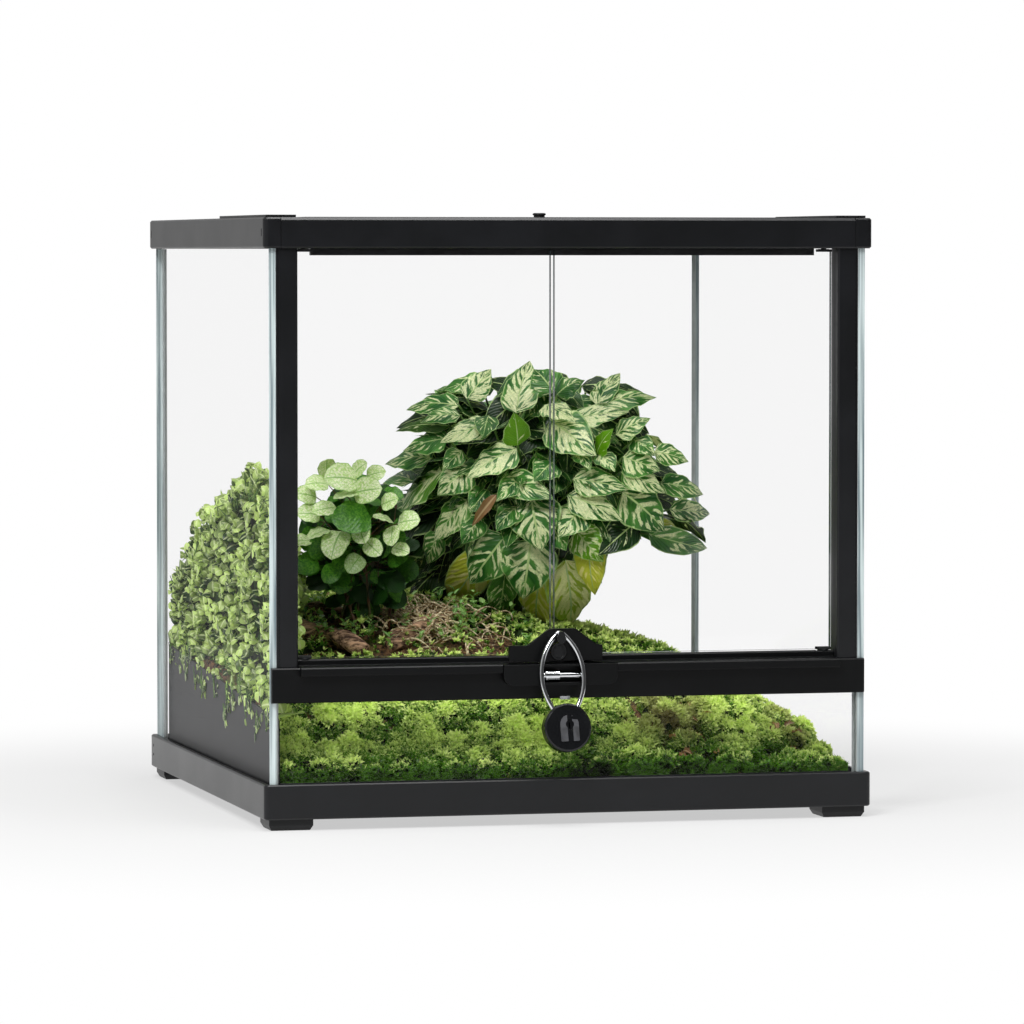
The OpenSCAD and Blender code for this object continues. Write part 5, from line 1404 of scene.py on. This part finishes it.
screen_lo, screen_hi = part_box("lid_mesh")
wire_level = (screen_lo.z + screen_hi.z) / 2
WIRE = plated_metal("blackened_steel_wire", "#3a3c3f", "#2b2d30", 0.42, 1.0 * MM)
along_x, along_y = (screen_lo.x, screen_hi.x), (screen_lo.y, screen_hi.y)
warp = make_piece("screen_warp", *woven_wires(*along_x, *along_y, wire_level, False), WIRE,
                  "lid", "screen")
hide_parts("lid_mesh")
make_piece("screen_weft", *woven_wires(*along_y, *along_x, wire_level, True), WIRE, "lid", "screen")

# %% [markdown]
# ## The shackle
# The padlock's shackle is one polished wire, bent into a long loop that is narrow at the top,
# where it hangs on its peg, and widest in the middle. Its outline is three arcs that meet
# smoothly. The same arcs, with many more points, give a surface smooth enough to mirror the room.
# A free curve through a few points looks right at first, yet its curvature wanders, and polished
# wire shows that in its highlights.

# %% The shackle's outline
def arc(centre, radius, from_angle, to_angle, steps):
    """Points at centre + radius (cos a, sin a) for angles in degrees; the first one is left out."""
    a = np.radians(np.linspace(from_angle, to_angle, steps + 1)[1:])
    return np.stack([centre[0] + radius * np.cos(a), centre[1] + radius * np.sin(a)], -1)


def half_loop(top_r=3.85, half=15.5, drop=27.0, leg_half=9.6, leg_drop=49.0, bend=6.0,
              inside=11.0):
    """The right half of the loop in its own plane, in millimetres: u sideways, v upwards from the
    peg. A small arc over the peg, a long arc to the widest place, an arc in to the mouth of the
    lock, a tight bend, and a straight leg inside it. upper and lower are the centres' distances
    that make the arcs meet smoothly."""
    upper = (drop ** 2 - (half - top_r) ** 2) / (2 * (half - top_r))
    lower = ((leg_drop - drop) ** 2 - half ** 2 + leg_half ** 2) / (2 * (half - leg_half))
    top = np.degrees(np.arctan2(drop, upper))
    low = np.degrees(np.arcsin((leg_drop - drop) / (lower + half)))
    leg = (lower + half + bend) * np.cos(np.radians(low)) - lower - bend
    mouth = -drop - (lower + half + bend) * np.sin(np.radians(low))
    return np.concatenate([[[0.0, top_r]],
                           arc((0, 0), top_r, 90, top, 16),
                           arc((-upper, -drop), upper + half, top, 0, 34),
                           arc((-lower, -drop), lower + half, 0, -low, 24),
                           arc((leg + bend, mouth), bend, 180 - low, 180, 8),
                           [[leg, mouth - inside / 2], [leg, mouth - inside]]])

# %% Bend the shackle
joints = {j["name"]: j for j in frame["record"]["behaviour"]["joints"]}
outward = np.array(joints["padlock_swing"]["axis"])
upward = -np.array(joints["padlock_release"]["axis"])
sideways = np.cross(upward, outward)
half = half_loop()
loop = np.concatenate([half[:0:-1] * [-1, 1], half]) * MM
wire = np.array(joints["padlock_swing"]["pos_m"]) + loop[:, :1] * sideways + loop[:, 1:] * upward
shackle = make_piece("shackle_wire", *tubes(wire[None], 1.75 * MM, 28, 0.0, outward), CHROME,
                     "shackle", "bright_steel")
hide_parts("padlock_shackle")

# %% [markdown]
# ## Floor, world and lamps
# The terrarium stands on a plain white floor in a white room. The floor and the room look white
# because they are white, and the room is dimmer behind the camera, as a studio is: that keeps the
# black frame black in front, while its left side, seen at a glancing angle, shows a grey sheen.
# Two large soft lamps, one above and one at the left, give soft shadows. A floor that only glows
# would be simpler, but nothing could cast a shadow on it, so it is matt paint under a share of
# plain white that grows away from the terrarium. Near the terrarium that white glows dimmer, a
# painted shadow.

# %% Make the floor
# painted shadow: the plain white glows dimmer under the terrarium
SHADOWED_GLOW, FLOOR_BLEACH = 0.83, 0.68    # under the terrarium; both rise to 1 around it
HALF_SIDE = 1.7                          # metres


def white_floor(name):
    """Matt white paint, which keeps the shadow of what stands on it. Seen straight, in a mirror or
    through glass it is mixed with plain white, the more so further from the middle, and that
    white glows dimmer near the middle, a painted shadow."""
    material, tree = blank(name)
    paint = add(tree, "BsdfDiffuse", {"Color": linear("#e0e0e0")})
    where = add(tree, "TexCoord", {}, "Object")
    away = add(tree, "VectorMath", {0: where}, "Value", operation="LENGTH")
    # painted shadow: the white glows less towards the middle
    level = add(tree, "MapRange", {0: away, 1: 0.3, 2: 0.8, 3: SHADOWED_GLOW, 4: 1.0}, **EASED)
    white = add(tree, "Emission", {"Color": linear("#ffffff"), "Strength": level})
    share = add(tree, "LightPath", {}, "Is Camera Ray")
    for kind in ("Is Glossy Ray", "Is Transmission Ray"):
        other = add(tree, "LightPath", {}, kind)
        share = add(tree, "Math", {0: share, 1: other}, operation="ADD", use_clamp=True)
    bleach = add(tree, "MapRange", {0: away, 1: 0.3, 2: 0.85, 3: FLOOR_BLEACH, 4: 1.0}, **EASED)
    white_share = add(tree, "Math", {0: share, 1: bleach}, operation="MULTIPLY")
    both = add(tree, "MixShader", {0: white_share, 1: paint, 2: white})
    add(tree, "OutputMaterial", {0: both})
    return material


floor_corners = np.array([[-1, -1, 0], [1, -1, 0], [1, 1, 0], [-1, 1, 0]]) * HALF_SIDE
floor_mesh = bpy.data.meshes.new("studio_floor")
floor_mesh.from_pydata(floor_corners.tolist(), [], [(0, 1, 2, 3)])
floor_mesh.materials.append(white_floor("matt_white_floor"))
studio_floor = bpy.data.objects.new("studio_floor", floor_mesh)
bpy.context.scene.collection.objects.link(studio_floor)
print("floor", 2 * HALF_SIDE, "m wide")

# %% Light the room
world = bpy.data.worlds.new("studio")
bpy.context.scene.world = world
world.use_nodes = True
room = world.node_tree
room.nodes.clear()
DIM, BRIGHT = 0.06, 0.55                 # the room behind the camera, and behind the terrarium
TOWARDS_BRIGHT = (-0.35, 0.75, 0.35)     # the way to the bright side
direction = add(room, "TexCoord", {}, "Generated")
side = add(room, "VectorMath", {0: direction, 1: TOWARDS_BRIGHT}, "Value",
           operation="DOT_PRODUCT")
glow = add(room, "MapRange", {0: side, 1: -0.6, 2: 0.5, 3: DIM, 4: BRIGHT}, **EASED)
seen = add(room, "LightPath", {}, "Is Camera Ray")
through = add(room, "LightPath", {}, "Is Transmission Ray")
seen = add(room, "Math", {0: seen, 1: through}, operation="MAXIMUM")
level = add(room, "Mix", {0: seen, 2: glow, 3: 1.0}, 0, data_type="FLOAT")
sky = add(room, "Background", {"Color": linear("#ffffff"), "Strength": level})
add(room, "OutputWorld", {0: sky})
print("room from", DIM, "to", BRIGHT)

# %% Hang the lamps
def soft_lamp(name, place, towards, size, power):
    """A square soft box of size metres at place, turned to look at towards."""
    lamp = bpy.data.lights.new(name, "AREA")
    lamp.size = size
    lamp.energy = power
    holder = bpy.data.objects.new(name, lamp)
    holder.location = place
    holder.rotation_euler = (Vector(towards) - Vector(place)).to_track_quat("-Z", "Y").to_euler()
    bpy.context.scene.collection.objects.link(holder)
    return holder


soft_lamp("lamp_above", (0.0, -0.6, 2.2), (0.0, 0.0, 0.2), 1.2, 39)
soft_lamp("lamp_front_left", (-1.3, -2.0, 2.1), (0.0, 0.0, 0.2), 0.8, 57)
bpy.context.scene.view_settings.view_transform = "Standard"

# %% Measure and finish
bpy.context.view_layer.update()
shown = [o for o in bpy.context.scene.objects if o.type == "MESH" and not o.hide_render]
print("triangles in all:", sum(len(p.vertices) - 2 for o in shown for p in o.data.polygons))
